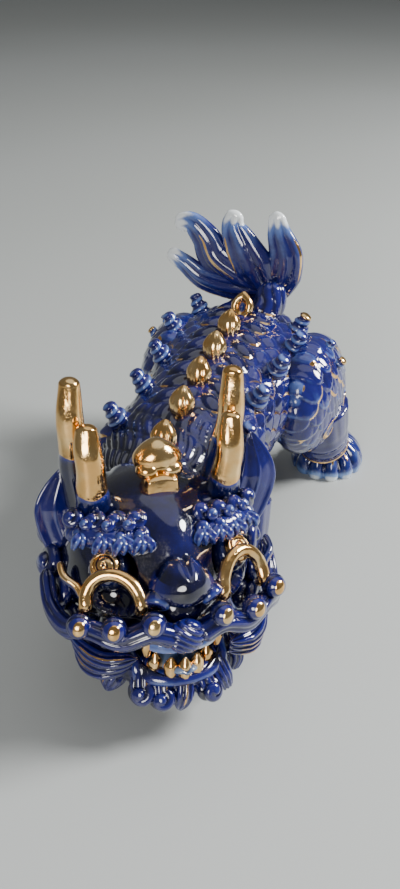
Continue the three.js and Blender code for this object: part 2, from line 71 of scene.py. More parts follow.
def ease(low: float, high: float, value: Array) -> Array:
    """A smooth step: 0 at low, 1 at high, cubic between."""
    share = np.clip((value - low) / (high - low), 0.0, 1.0)
    return share * share * (3.0 - 2.0 * share)


def ridge(phase: Array, sharpness: float = 1.0) -> Array:
    """Round ridges with narrow grooves: |cos(phase)| to a power, 0 in the groove and 1 on top."""
    return np.abs(np.cos(phase)) ** sharpness


def hashed(first: Array, second: Array) -> Array:
    """A fixed scatter in 0..1 for whole-number pairs: the fraction of a large sine."""
    wave = np.sin(first * 127.1 + second * 311.7) * 43758.5453
    return wave - np.floor(wave)


def blended(values: Sequence[float], t: Array) -> Array:
    """Evenly spaced values joined by straight lines, read at t in 0..1."""
    return np.interp(t, np.linspace(0.0, 1.0, len(values)), values)


def round_ends(t: Array, portion: float = 0.12) -> Array:
    """A quarter ellipse at either end of a limb: 0 at the end, 1 from the portion inwards."""
    inwards = np.minimum(np.minimum(t, 1.0 - t), portion) / portion
    return np.sqrt(np.clip(1.0 - (1.0 - inwards) ** 2, 0.0, 1.0))


def turn(axis: str, degrees: float) -> Array:
    """The right-handed rotation matrix about one axis.

    Args:
        axis: the axis's letter, x, y or z.
        degrees: the angle.

    Returns:
        The matrix, for column vectors.
    """
    c, s = math.cos(math.radians(degrees)), math.sin(math.radians(degrees))
    first, second = {"x": (1, 2), "y": (2, 0), "z": (0, 1)}[axis]
    matrix = np.eye(3)
    matrix[first, first] = matrix[second, second] = c
    matrix[first, second], matrix[second, first] = -s, s
    return matrix


def unit(vector: Array) -> Array:
    """A vector, or a grid of them, at length 1."""
    return vector / np.maximum(np.linalg.norm(vector, axis=-1, keepdims=True), 1e-9)


def upright_onto(axis: Sequence[float]) -> Array:
    """A rotation matrix that carries +Z onto an axis.

    Args:
        axis: the direction wanted, of any length.

    Returns:
        A matrix whose third column is the unit axis.
    """
    third = unit(np.asarray(axis, float))
    helper = np.array([0.0, 1.0, 0.0]) if abs(third[1]) < 0.9 else np.array([1.0, 0.0, 0.0])
    first = unit(np.cross(helper, third))
    return np.column_stack([first, np.cross(third, first), third])


def along_curve(knots: Array, t: Array) -> Array:
    """Points of the centripetal Catmull-Rom curve through the knots.

    Between two knots the curve is a cubic whose end slopes come from the neighbours, weighted
    by the square roots of the chord lengths; the end knots are mirrored outwards once.

    Args:
        knots: (n, 3) points that the curve passes through.
        t: places along it, 0..1, spread evenly over the stretches between knots.

    Returns:
        An array of points with the shape of t and a last axis of 3.
    """
    last = len(knots) - 1
    place = np.clip(t, 0.0, 1.0) * last
    first = np.minimum(place.astype(int), last - 1)
    w = (place - first)[..., None]
    padded = np.vstack([2 * knots[0] - knots[1], knots, 2 * knots[-1] - knots[-2]])
    p0, p1, p2, p3 = (padded[first + k] for k in range(4))
    d0, d1, d2 = (
        np.maximum(np.sqrt(np.linalg.norm(b - a, axis=-1, keepdims=True)), 1e-4)
        for a, b in ((p0, p1), (p1, p2), (p2, p3))
    )
    start = ((p1 - p0) / d0 - (p2 - p0) / (d0 + d1) + (p2 - p1) / d1) * d1
    end = ((p2 - p1) / d1 - (p3 - p1) / (d1 + d2) + (p3 - p2) / d2) * d1
    chord = p2 - p1
    return p1 + w * start + w**2 * (3 * chord - 2 * start - end) + w**3 * (start + end - 2 * chord)


# ---- Skins ------------------------------------------------------------------------------------
@dataclass
class Skin:
    """A closed grid of points with the glaze masks that lie on it.

    thin is 0 where the glaze pools dark and 1 where it breaks white; gilt is 1 under gold.
    """

    points: Array
    thin: Array
    gilt: Array

    def normals(self) -> Array:
        """Outward unit normals: the cross product of the two grid directions.

        Returns:
            One unit vector for each grid point.
        """
        around = np.roll(self.points, -1, 1) - np.roll(self.points, 1, 1)
        along = np.gradient(self.points, axis=0)
        normal = np.cross(around, along)
        normal[0], normal[-1] = normal[1].mean(0), normal[-2].mean(0)
        outward = self.points - self.points.mean((0, 1))
        if (normal * outward).sum() < 0:
            normal = -normal
        return unit(normal)

    def raised(self, height: Array) -> "Skin":
        """The skin moved along its normals by a height in millimetres at each point.

        Args:
            height: how far each point goes; the mean of a pole's ring counts there.

        Returns:
            The new skin, with the same masks.
        """
        height = np.array(np.broadcast_to(height, self.thin.shape))
        height[0], height[-1] = height[0].mean(), height[-1].mean()
        return Skin(self.points + self.normals() * height[..., None], self.thin, self.gilt)

    def placed(self, matrix: Array, offset: Sequence[float]) -> "Skin":
        """The skin turned by a matrix and then shifted."""
        return Skin(self.points @ matrix.T + np.asarray(offset, float), self.thin, self.gilt)


def softened(field: Array, passes: int = 1) -> Array:
    """A field on a skin blurred with its four neighbours, as melting glaze rounds an edge.

    Args:
        field: one value for each grid point.
        passes: how often it is blurred.

    Returns:
        The blurred field.
    """
    for _ in range(passes):
        across = (np.roll(field, 1, 1) + np.roll(field, -1, 1)) / 2
        padded = np.pad(field, ((1, 1), (0, 0)), mode="edge")
        lengthwise = (padded[:-2] + padded[2:]) / 2
        field = (2 * field + across + lengthwise) / 4
    return field


def ball_grid(rings: int, sides: int) -> tuple[Array, Array]:
    """Polar angle from +Z and azimuth on a closed grid, each of shape (rings, sides).

    Args:
        rings: grid rings from pole to pole.
        sides: grid sides round.

    Returns:
        The two grids of angles.
    """
    polar = np.linspace(0.0, math.pi, rings)[:, None]
    azimuth = np.linspace(0.0, 2 * math.pi, sides, endpoint=False)[None, :]
    return np.broadcast_to(polar, (rings, sides)), np.broadcast_to(azimuth, (rings, sides))


def sphere_points(polar: Array, azimuth: Array) -> Array:
    """Unit vectors (sin p cos a, sin p sin a, cos p)."""
    flat = np.sin(polar)
    return np.stack([flat * np.cos(azimuth), flat * np.sin(azimuth), np.cos(polar)], -1)


def ball_points(rings: int, sides: int) -> Array:
    """X, Y and Z of a unit ball's grid points, along the first axis."""
    return np.moveaxis(sphere_points(*ball_grid(rings, sides)), -1, 0)


def plain(thin: float, gilt: float) -> Relief:
    """A relief of no height with the same masks everywhere."""
    return lambda first, second: (0 * first, thin + 0 * first, gilt + 0 * first)


def ball_skin(
    centre: Sequence[float], half: Sequence[float], relief: Relief, axis: Sequence[float] = UP,
    rings: int = 40, sides: int = 52,
) -> Skin:
    """An ellipsoid with a relief of its polar angle and azimuth.

    Args:
        centre: its middle.
        half: half sizes along X, Y and Z.
        relief: gives height, thin and gilt from polar angle and azimuth about the axis.
        axis: where the poles point.
        rings: grid rings from pole to pole.
        sides: grid sides round.

    Returns:
        The closed skin.
    """
    polar, azimuth = ball_grid(rings, sides)
    points = sphere_points(polar, azimuth) @ upright_onto(axis).T
    height, thin, gilt = relief(polar, azimuth)
    return Skin(points * np.asarray(half, float) + np.asarray(centre, float), thin, gilt).raised(height)


def limb_skin(
    knots: Sequence[Sequence[float]], half: Sequence[float], relief: Relief, flatness: float = 1.0,
    across: Sequence[float] = (0, 1, 0), ends: float = 0.12, rings: int = 60, sides: int = 36,
) -> Skin:
    """A tapered limb: an ellipse carried along a curve, its half width read from a list.

    Args:
        knots: points that the middle line passes through.
        half: evenly spaced half widths, joined by straight lines.
        relief: gives height, thin and gilt from t along and the angle round.
        flatness: depth of the section over its width.
        across: a direction that the section's width stays square to.
        ends: share of the length that each rounded end takes.
        rings: grid rings along.
        sides: grid sides round.

    Returns:
        The closed skin.
    """
    t = (1 - np.cos(np.linspace(0.0, math.pi, rings))) / 2
    knots = np.asarray(knots, float)
    middle = along_curve(knots, t)
    tangent = unit(along_curve(knots, np.minimum(t + 1e-3, 1)) - along_curve(knots, np.maximum(t - 1e-3, 0)))
    side = unit(np.cross(np.asarray(across, float), tangent))
    depth = np.cross(tangent, side)
    width = round_ends(t, ends) * softened(blended(half, t)[:, None], 3)[:, 0]
    angle = np.linspace(0.0, 2 * math.pi, sides, endpoint=False)
    points = (
        middle[:, None]
        + side[:, None] * (width[:, None] * np.cos(angle))[..., None]
        + depth[:, None] * (width[:, None] * np.sin(angle) * flatness)[..., None]
    )
    t_grid, angle_grid = np.meshgrid(t, angle, indexing="ij")
    height, thin, gilt = relief(t_grid, angle_grid)
    fade = round_ends(t, min(2 * ends, 0.3))[:, None]
    return Skin(points, thin, gilt).raised(height * fade)


def strands(count: int, depth: float, twist: float = 0.0, thin: float = 0.3, gold: float = 0.0) -> Relief:
    """Lengthwise strands: |cos| ridges round a limb that twist as they run.

    Args:
        count: ridges round the limb.
        depth: groove depth in millimetres.
        twist: radians that the ridges turn from end to end.
        thin: glaze mask in the grooves; ridges and the far tip are paler.
        gold: share of the ridges that carry a brushed gold line.

    Returns:
        A relief of t along and the angle round.
    """

    def relief(t: Array, angle: Array) -> Coat:
        """The ridges, a brighter far tip and the gold lines.

        Args:
            t: share of the limb's length, 0..1.
            angle: angle round its section.

        Returns:
            Height in millimetres, and the thin and gilt masks.
        """
        phase = angle * count / 2 + twist * t
        crest = ridge(phase, 0.7)
        pale = thin + 0.22 * crest**2 + 0.22 * t**3
        line = ease(0.93, 0.99, crest) * (hashed(np.floor(phase / math.pi + 0.5) % count, 3 + 0 * t) < gold)
        return depth * (crest - 1), pale, line * ease(0.12, 0.2, t) * (1 - ease(0.7, 0.85, t))

    return relief


def snail(radius: float, turns: float, thin: float) -> Relief:
    """A spiral groove that winds from the pole outwards: cos(azimuth - turns of polar angle).

    Args:
        radius: the ball's radius, which the groove's depth follows.
        turns: turns of the groove.
        thin: glaze mask of the ground.

    Returns:
        A relief of polar angle and azimuth.
    """

    def relief(polar: Array, azimuth: Array) -> Coat:
        """The groove, darker than the ground beside it.

        Args:
            polar: angle from the pole.
            azimuth: angle round the pole.

        Returns:
            Height in millimetres, and the thin and gilt masks.
        """
        wave = 0.5 + 0.5 * np.cos(azimuth - 2 * turns * polar)
        shown = ease(0.15, 0.5, polar) * (1 - ease(1.9, 2.5, polar))
        groove = (1 - wave**0.45) * shown
        pale = thin + 0.24 * (1 - groove) * bump(polar, 0, 1.0) - 0.2 * groove
        return -0.24 * radius * groove, pale, 0 * polar

    return relief


def curl(centre: Sequence[float], radius: float, axis: Sequence[float], thin: float) -> Skin:
    """A ball curl: a ball with a snail's groove about its axis."""
    return ball_skin(centre, (radius,) * 3, snail(radius, 2.0, thin), axis, rings=36, sides=46)


def scales(along: Array, across: Array, pitch: float, width: float) -> tuple[Array, Array, Array, Array]:
    """Overlapping round scales whose free edges point along +.

    Each scale is an ellipse; rows are staggered by half a width, and where ellipses overlap the
    one of the row nearer the head lies on top. Height ramps up to the free edge.

    Args:
        along: millimetres along the body.
        across: millimetres round it.
        pitch: distance between rows.
        width: distance between scales of a row.

    Returns:
        Height in 0..1, distance from the scale's middle (1 at its edge), the place across it in
        -1..1, and a scatter value in 0..1 that each scale holds for itself.
    """
    reach = 1.5 * pitch
    height, distance, place, scatter = (np.zeros(along.shape) for _ in range(4))
    open_ground = np.ones(along.shape, bool)
    newest = np.floor((along - reach) / pitch)
    for step in range(4):
        row = newest + step
        shift = 0.5 * (row % 2)
        column = np.round(across / width - shift)
        forth = (along - row * pitch) / reach
        aside = (across - (column + shift) * width) / (0.6 * width)
        apart = np.sqrt(forth**2 + aside**2)
        here = open_ground & (apart < 1.0)
        lifted = (0.3 + 0.7 * np.clip(forth, 0, 1)) * (1 - 0.55 * ease(0.82, 1.0, apart))
        height[here] = lifted[here]
        distance[here] = apart[here]
        place[here] = aside[here]
        scatter[here] = hashed(row, column)[here]
        open_ground &= ~here
    return height, distance, place, scatter


def scale_paint(apart: Array, place: Array, scatter: Array) -> tuple[Array, Array, Array]:
    """What is drawn on the scales: |cos| ribs, a pale rim, and gold on two rims in three.

    The rim is the band of distance 0.8 to 1; the gold stroke covers one half of it, left or
    right by the scatter value.

    Args:
        apart: distance from the scale's middle, 1 at its edge.
        place: place across the scale, -1..1.
        scatter: the scale's own value in 0..1.

    Returns:
        The ribs, the rim and the gold, each in 0..1.
    """
    rib = ridge(place * 4.6, 0.7)
    rim = ease(0.8, 0.88, apart) * (1 - ease(0.97, 1.0, apart))
    stroke = ease(-0.25, 0.1, place * np.sign(scatter - 0.66)) * (scatter > 0.32)
    return rib, rim, rim * stroke


# ---- Finishes ---------------------------------------------------------------------------------
class Slot(Enum):
    """The record's material slots."""

    COBALT = "cobalt_glaze"
    PALE = "pale_glaze"
    GILT = "gilt"
    TONGUE = "tongue_glaze"
    EYE = "eye_glaze"


class Tree:
    """A short hand for building shader node trees."""

    def __init__(self, tree: bpy.types.NodeTree) -> None:
        """Keeps the tree that nodes are added to."""
        self.tree = tree

    def add(self, kind: str, inputs: dict | None = None, **settings: object) -> bpy.types.Node:
        """Adds a node.

        Args:
            kind: the node's type name after "ShaderNode".
            inputs: socket name or number to a value, or to another node's output to link.
            settings: attributes to set on the node.

        Returns:
            The node.
        """
        made = self.tree.nodes.new(kind if kind.startswith("NodeGroup") else f"ShaderNode{kind}")
        for key, value in settings.items():
            setattr(made, key, value)
        for key, value in (inputs or {}).items():
            if isinstance(value, Socket):
                self.tree.links.new(value, made.inputs[key])
            else:
                made.inputs[key].default_value = value
        return made

    def maths(self, operation: str, first: object, second: object) -> Socket:
        """The output of one Math node."""
        return self.add("Math", {0: first, 1: second}, operation=operation).outputs[0]

    def stepped(self, value: Socket, low: float, high: float, to: Sequence[float] = (0.0, 1.0)) -> Socket:
        """A smooth Map Range from low..high to the two values given."""
        sockets = {"Value": value, "From Min": low, "From Max": high, "To Min": to[0], "To Max": to[1]}
        return self.add("MapRange", sockets, interpolation_type="SMOOTHSTEP").outputs["Result"]

    def mixed(self, share: object, first: object, second: object) -> Socket:
        """A colour mix of two colours by a share."""
        return self.add("Mix", {0: share, 6: first, 7: second}, data_type="RGBA").outputs[2]

    def noise(self, scale: float, detail: float) -> Socket:
        """Noise on Object coordinates, which are metres here."""
        place = self.add("TexCoord").outputs["Object"]
        return self.add("TexNoise", {"Vector": place, "Scale": scale, "Detail": detail}).outputs["Fac"]


def node_group(
    name: str, inputs: dict[str, object], outputs: dict[str, str],
) -> tuple[Tree, Callable[[str], Socket], Callable[[str, Socket], object]]:
    """Starts a shader node group with named sockets.

    Args:
        name: the group's name.
        inputs: socket name to its default, a number or a colour.
        outputs: socket name to its socket type.

    Returns:
        The tree, a function that gives an input's socket, and one that links an output.
    """
    group = bpy.data.node_groups.new(name, "ShaderNodeTree")
    for title, value in inputs.items():
        kind = "NodeSocketColor" if isinstance(value, tuple) else "NodeSocketFloat"
        group.interface.new_socket(title, in_out="INPUT", socket_type=kind).default_value = value
    for title, kind in outputs.items():
        group.interface.new_socket(title, in_out="OUTPUT", socket_type=kind)
    tree = Tree(group)
    source, sink = tree.add("NodeGroupInput"), tree.add("NodeGroupOutput")
    return tree, source.outputs.__getitem__, lambda title, value: group.links.new(value, sink.inputs[title])


def glaze_depth_group() -> bpy.types.NodeTree:
    """Colour of a transparent blue glaze by its depth: dark where it pools, white where it thins.

    Returns:
        The group's tree.
    """
    colours = {
        "Deep": (0.0, 0.0, 0.02, 1.0), "Body": (0.01, 0.02, 0.2, 1.0),
        "Pale": (0.1, 0.2, 0.6, 1.0), "White": (0.8, 0.8, 0.8, 1.0),
    }
    tree, given, give = node_group(
        "glaze_depth", {"Thin": 0.3, "Mottle": 0.3, **colours},
        {"Color": "NodeSocketColor", "Roughness": "NodeSocketFloat"},
    )
    cloud = tree.maths("SUBTRACT", tree.noise(75.0, 4.0), 0.5)
    flow = tree.maths("SUBTRACT", tree.noise(420.0, 2.0), 0.5)
    drift = tree.maths("ADD", cloud, tree.maths("MULTIPLY", flow, 0.35))
    depth = tree.maths("ADD", given("Thin"), tree.maths("MULTIPLY", drift, given("Mottle")))
    colour = tree.mixed(tree.stepped(depth, 0.02, 0.42), given("Deep"), given("Body"))
    colour = tree.mixed(tree.stepped(depth, 0.42, 0.8), colour, given("Pale"))
    colour = tree.mixed(tree.stepped(depth, 0.78, 1.0), colour, given("White"))
    give("Color", colour)
    give("Roughness", tree.stepped(cloud, -0.3, 0.3, (0.05, 0.12)))
    return tree.tree


def gilding_group() -> bpy.types.NodeTree:
    """Brushed gold lustre: a mask with worn, uneven edges, its colour and its roughness.

    Returns:
        The group's tree.
    """
    tree, given, give = node_group(
        "gilding", {"Mask": 0.0, "Wear": 0.3},
        {"Mask": "NodeSocketFloat", "Color": "NodeSocketColor", "Roughness": "NodeSocketFloat"},
    )
    patch = tree.noise(260.0, 5.0)
    ragged = tree.maths("MULTIPLY", tree.maths("SUBTRACT", patch, 0.5), given("Wear"))
    mask = tree.stepped(tree.maths("ADD", given("Mask"), ragged), 0.42, 0.6)
    tone = tree.noise(90.0, 3.0)
    give("Mask", mask)
    give("Color", tree.mixed(tree.stepped(tone, 0.35, 0.65), (0.82, 0.47, 0.16, 1), (0.93, 0.64, 0.3, 1)))
    give("Roughness", tree.stepped(patch, 0.3, 0.7, (0.07, 0.2)))
    return tree.tree


def ripple_group() -> bpy.types.NodeTree:
    """Height of the fired surface: slow waves in the glaze and fine pinholes.

    Returns:
        The group's tree.
    """
    tree, given, give = node_group(
        "glaze_ripple", {"Waves": 0.6, "Pinholes": 0.4}, {"Height": "NodeSocketFloat"},
    )
    waves = tree.maths("MULTIPLY", tree.noise(160.0, 2.0), given("Waves"))
    holes = tree.maths("MULTIPLY", tree.stepped(tree.noise(2200.0, 1.0), 0.3, 0.42), given("Pinholes"))
    give("Height", tree.maths("ADD", waves, tree.maths("MULTIPLY", holes, 0.12)))
    return tree.tree


@dataclass(frozen=True)
class Glaze:
    """One fired finish: glaze by depth, with gold where the gilt mask says."""

    slot: Slot
    deep: tuple[float, float, float]
    body: tuple[float, float, float]
    pale: tuple[float, float, float]
    white: tuple[float, float, float] = (0.78, 0.83, 0.86)
    mottle: float = 0.34
    wear: float = 0.35
    waves: float = 0.6

    def material(self, groups: dict[str, bpy.types.NodeTree]) -> bpy.types.Material:
        """Builds the material.

        Args:
            groups: the shared node groups by name.

        Returns:
            A material that reads the piece's thin and gilt attributes.
        """
        made = bpy.data.materials.new(self.slot.value)
        made.use_nodes = True
        made.node_tree.nodes.clear()
        tree = Tree(made.node_tree)
        thin = tree.add("Attribute", attribute_name="thin").outputs["Fac"]
        gilt = tree.add("Attribute", attribute_name="gilt").outputs["Fac"]
        colours = {"Deep": self.deep, "Body": self.body, "Pale": self.pale, "White": self.white}
        glaze = tree.add("Group", node_tree=groups["glaze_depth"])
        gold = tree.add("Group", node_tree=groups["gilding"])
        ripple = tree.add("Group", node_tree=groups["glaze_ripple"])
        for title, colour in colours.items():
            glaze.inputs[title].default_value = (*colour, 1.0)
        made.node_tree.links.new(thin, glaze.inputs["Thin"])
        glaze.inputs["Mottle"].default_value = self.mottle
        made.node_tree.links.new(gilt, gold.inputs["Mask"])
        gold.inputs["Wear"].default_value = self.wear
        ripple.inputs["Waves"].default_value = self.waves
        mask = gold.outputs["Mask"]
        roughness = tree.maths(
            "ADD",
            tree.maths("MULTIPLY", glaze.outputs["Roughness"], tree.maths("SUBTRACT", 1.0, mask)),
            tree.maths("MULTIPLY", gold.outputs["Roughness"], mask),
        )
        bumped = tree.add("Bump", {"Height": ripple.outputs["Height"], "Strength": 0.22, "Distance": 0.0012})
        shader = tree.add("BsdfPrincipled", {
            "Base Color": tree.mixed(mask, glaze.outputs["Color"], gold.outputs["Color"]),
            "Metallic": mask,
            "Roughness": roughness,
            "Coat Weight": tree.maths("SUBTRACT", 1.0, mask),
            "Coat Roughness": 0.03,
            "IOR": 1.5,
            "Normal": bumped.outputs["Normal"],
        })
        tree.add("OutputMaterial", {"Surface": shader.outputs["BSDF"]})
        return made


GLAZES = (
    Glaze(Slot.COBALT, (0.0008, 0.0008, 0.008), (0.007, 0.008, 0.115), (0.1, 0.17, 0.45)),
    Glaze(Slot.PALE, (0.002, 0.003, 0.02), (0.01, 0.018, 0.14), (0.16, 0.27, 0.55), (0.78, 0.83, 0.85)),
    Glaze(Slot.GILT, (0.0008, 0.001, 0.01), (0.008, 0.016, 0.17), (0.14, 0.27, 0.58), wear=0.3, waves=0.9),
    Glaze(Slot.TONGUE, (0.01, 0.015, 0.06), (0.05, 0.08, 0.18), (0.2, 0.27, 0.4), mottle=0.25),
    Glaze(Slot.EYE, (0.001, 0.001, 0.01), (0.004, 0.006, 0.05), (0.05, 0.1, 0.34), mottle=0.2),
)


# ---- From skins to pieces ---------------------------------------------------------------------
class Kiln:
    """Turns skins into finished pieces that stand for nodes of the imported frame."""

    def __init__(self, origin: Array) -> None:
        """Builds the finishes.

        Args:
            origin: where the design frame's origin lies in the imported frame, in millimetres.
        """
        self.origin = origin
        builders = (glaze_depth_group, gilding_group, ripple_group)
        groups = {tree.name: tree for tree in (build() for build in builders)}
        self.materials = {glaze.slot: glaze.material(groups) for glaze in GLAZES}

    @staticmethod
    def faces(rings: int, sides: int, first: int) -> tuple[Array, Array]:
        """Corner numbers of a closed grid's faces.

        Args:
            rings: grid rings, both poles counted as one point each.
            sides: grid sides round.
            first: number of the skin's first point.

        Returns:
            Triangles at the two poles and quads between, as whole-number arrays.
        """
        side = np.arange(sides)
        following = (side + 1) % sides
        row = first + 1 + np.arange(rings - 3)[:, None] * sides
        quads = np.stack([row + side, row + following, row + sides + following, row + sides + side], -1)
        last_row = first + 1 + (rings - 3) * sides
        last = last_row + sides
        top = np.stack([np.full(sides, first), first + 1 + following, first + 1 + side], -1)
        end = np.stack([np.full(sides, last), last_row + side, last_row + following], -1)
        return np.concatenate([top, end]), quads.reshape(-1, 4)

    def mesh(self, name: str, skins: Sequence[Skin]) -> bpy.types.Mesh:
        """One mesh of several closed skins, faces outward, masks as point attributes.

        Args:
            name: the mesh's name.
            skins: the skins, in the design frame.

        Returns:
            The mesh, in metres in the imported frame.
        """
        corners, masks, triangles, quads = [], [], [], []
        first = 0
        for skin in skins:
            rings, sides = skin.thin.shape
            poles = [skin.points[:1, 0], skin.points[-1:, 0]]
            points = np.concatenate([poles[0], skin.points[1:-1].reshape(-1, 3), poles[1]])
            values = [
                np.concatenate([[field[0].mean()], field[1:-1].ravel(), [field[-1].mean()]])
                for field in (skin.thin, skin.gilt)
            ]
            three, four = self.faces(rings, sides, first)
            a, b, c, d = (points[four[:, k] - first] for k in range(4))
            if (np.cross(c - a, d - b) * (a + c - 2 * points.mean(0))).sum() < 0:
                three, four = three[:, ::-1], four[:, ::-1]
            corners.append(points)
            masks.append(np.stack(values))
            triangles.append(three)
            quads.append(four)
            first += len(points)
        points = (np.concatenate(corners) + self.origin) * MM
        three, four = np.concatenate(triangles), np.concatenate(quads)
        made = bpy.data.meshes.new(name)
        made.vertices.add(len(points))
        made.vertices.foreach_set("co", points.astype(np.float32).ravel())
        made.loops.add(three.size + four.size)
        made.loops.foreach_set("vertex_index", np.concatenate([three.ravel(), four.ravel()]).astype(np.int32))
        starts = np.concatenate([np.arange(len(three)) * 3, three.size + np.arange(len(four)) * 4])
        made.polygons.add(len(starts))
        made.polygons.foreach_set("loop_start", starts.astype(np.int32))
        made.update(calc_edges=True)
        made.polygons.foreach_set("use_smooth", np.ones(len(starts), bool))
        for title, values in zip(("thin", "gilt"), np.concatenate(masks, axis=1)):
            layer = made.attributes.new(title, "FLOAT", "POINT")
            layer.data.foreach_set("value", values.astype(np.float32))
        return made

    def fire(self, node: str, skins: Sequence[Skin], slot: Slot) -> None:
        """Makes a piece, dresses it, lets it stand for its node and rides it on the one body.

        Args:
            node: the CAD node that the piece replaces.
            skins: its skins in the design frame.
            slot: the record's slot that its finish belongs to.
        """
        mesh = self.mesh(f"{node}_glazed", skins)
        mesh.materials.append(self.materials[slot])
        piece = bpy.data.objects.new(mesh.name, mesh)
        bpy.context.scene.collection.objects.link(piece)
        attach(piece, "root")
        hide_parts(node)
        LOG.info("%s: %d points", piece.name, len(mesh.vertices))


class Side(Enum):
    """The beast's own two sides."""

    RIGHT = -1
    LEFT = 1

    @property
    def word(self) -> str:
        """The side's name as it stands at the end of node names."""
        return self.name.lower()


# ---- Trunk, legs and tail ---------------------------------------------------------------------
@dataclass
class Trunk:
    """The cast body: a stretched ball whose width and height change along its length."""

    middle_y: float = 19.0
    half_length: float = 84.0
    waist: float = 36.0
    hip_swell: float = 13.0
    hip_y: float = 66.0
    shoulder_swell: float = 6.0
    shoulder_y: float = -30.0
    spine_height: float = 87.5
    spine_slope: float = 0.12
    belly: float = 29.0
    neck_rise: float = 20.0
    neck_y: float = -62.0
    fullness: float = 0.42
    scale_pitch: float = 7.2
    scale_width: float = 11.5
    scale_lift: float = 2.0
    plate_pitch: float = 23.3
    first_plate: float = -46.0
    petal_start: float = 3.0
    petal_aside: float = 12.5
    petal_half: tuple[float, float] = (5.9, 7.5)

    def section(self, y: Array) -> tuple[Array, Array, Array]:
        """Half width, middle height and half height of the body at y: a waist plus two bells.

        Args:
            y: place along the body.

        Returns:
            Half width, middle height and half height.
        """
        width = self.waist + self.hip_swell * bump(y, self.hip_y, 34)
        width = width + self.shoulder_swell * bump(y, self.shoulder_y, 22)
        top = self.spine_height + self.spine_slope * y
        under = self.belly + self.neck_rise * bump(y, self.neck_y - 12, 30)
        return width, (top + under) / 2, (top - under) / 2

    def at(self, y: Array, angle: Array) -> Array:
        """Points of the bare form: an ellipse at y, its angle counted from the spine to +X.

        Args:
            y: place along the body.
            angle: angle round it, 0 on the spine.

        Returns:
            Points in the design frame.
        """
        along = np.clip((y - self.middle_y) / self.half_length, -1, 1)
        ring = np.sqrt(1 - along**2) ** self.fullness
        width, middle, height = self.section(y)
        x, z = width * ring * np.sin(angle), middle + height * ring * np.cos(angle)
        return np.stack([x, y + 0 * angle, z], -1)

    def outward(self, y: float, angle: float) -> Array:
        """The unit normal of the bare form there.

        Args:
            y: place along the body.
            angle: angle round it.

        Returns:
            The unit normal.
        """
        round_step = self.at(y, angle + 0.02) - self.at(y, angle - 0.02)
        long_step = self.at(y + 0.5, angle) - self.at(y - 0.5, angle)
        return unit(np.cross(round_step, long_step))

    def petals(self, y: Array, across: Array) -> tuple[Array, Array]:
        """Round lobes on either side of the spine, two to each plate.

        Args:
            y: distance along the body.
            across: distance round it from the spine.

        Returns:
            The lobe's dome in 0..1, and the gold line on the outer rim of some lobes.
        """
        pitch = self.plate_pitch / 2
        slanted = np.mod(y + self.petal_start + 0.35 * np.abs(across), pitch)
        along = (slanted - pitch / 2) / self.petal_half[0]
        aside = (np.abs(across) - self.petal_aside) / self.petal_half[1]
        apart = np.sqrt(along**2 + aside**2)
        dome = np.sqrt(np.clip(1 - apart**2, 0, 1))
        rim = bump(apart, 0.86, 0.07) * ease(-0.2, 0.3, aside) * (y > -22)
        order = np.floor((y + self.petal_start) / pitch)
        return dome, rim * (hashed(order, np.sign(across)) > 0.4)

    def skin(self, rings: int = 380, sides: int = 250) -> Skin:
        """The body with its relief: neck strands, petals, ribbed scales, belly bands.

        Args:
            rings: grid rings along the body.
            sides: grid sides round it.

        Returns:
            The closed skin.
        """
        along = -np.cos(np.linspace(0.0, math.pi, rings))[:, None]
        angle = np.linspace(-math.pi, math.pi, sides, endpoint=False)[None, :]
        y = self.middle_y + self.half_length * along + 0 * angle
        angle = angle + 0 * y
        points = self.at(y, angle)
        across = angle * self.section(y)[0]
        lift, apart, place, scatter = scales(y, across, self.scale_pitch, self.scale_width)
        rib, rim, gold = scale_paint(apart, place, scatter)
        dome, petal_gold = self.petals(y, across)
        neck = 1 - ease(-30, -12, y)
        belly = ease(1.9, 2.25, np.abs(angle))
        scaled = (1 - neck) * (1 - belly) * (dome < 0.05)
        lock = ridge(across * 0.5 + 1.6 * np.sin(y * 0.16), 0.6) * ridge(y * 0.24 + across * 0.08, 0.3)
        band = np.mod(y / 9.5, 1.0) ** 0.7
        height = self.scale_lift * lift * (0.8 + 0.2 * rib) * scaled + 1.5 * lock * neck * (1 - belly)
        height = height + 1.1 * band * belly + 3.0 * dome * (1 - neck) - 0.6 * bump(across, 0, 4)
        gilt = gold * scaled * ease(0.45, 0.75, np.abs(angle)) * ease(-22, 5, y)
        gilt = np.maximum(gilt, petal_gold)
        thin = 0.06 + (0.26 * lift + 0.22 * rim + 0.16 * rib * lift) * scaled
        thin = thin + 0.1 * lock * neck + 0.2 * band * belly + 0.16 * dome + 0.16 * (scatter - 0.5) * scaled
        fade = np.clip((1 - along**2) * 6, 0, 1)
        gilt = gilt * ease(0.1, 0.3, 1 - along**2)
        return Skin(points, softened(thin), softened(gilt)).raised(softened(height) * fade)


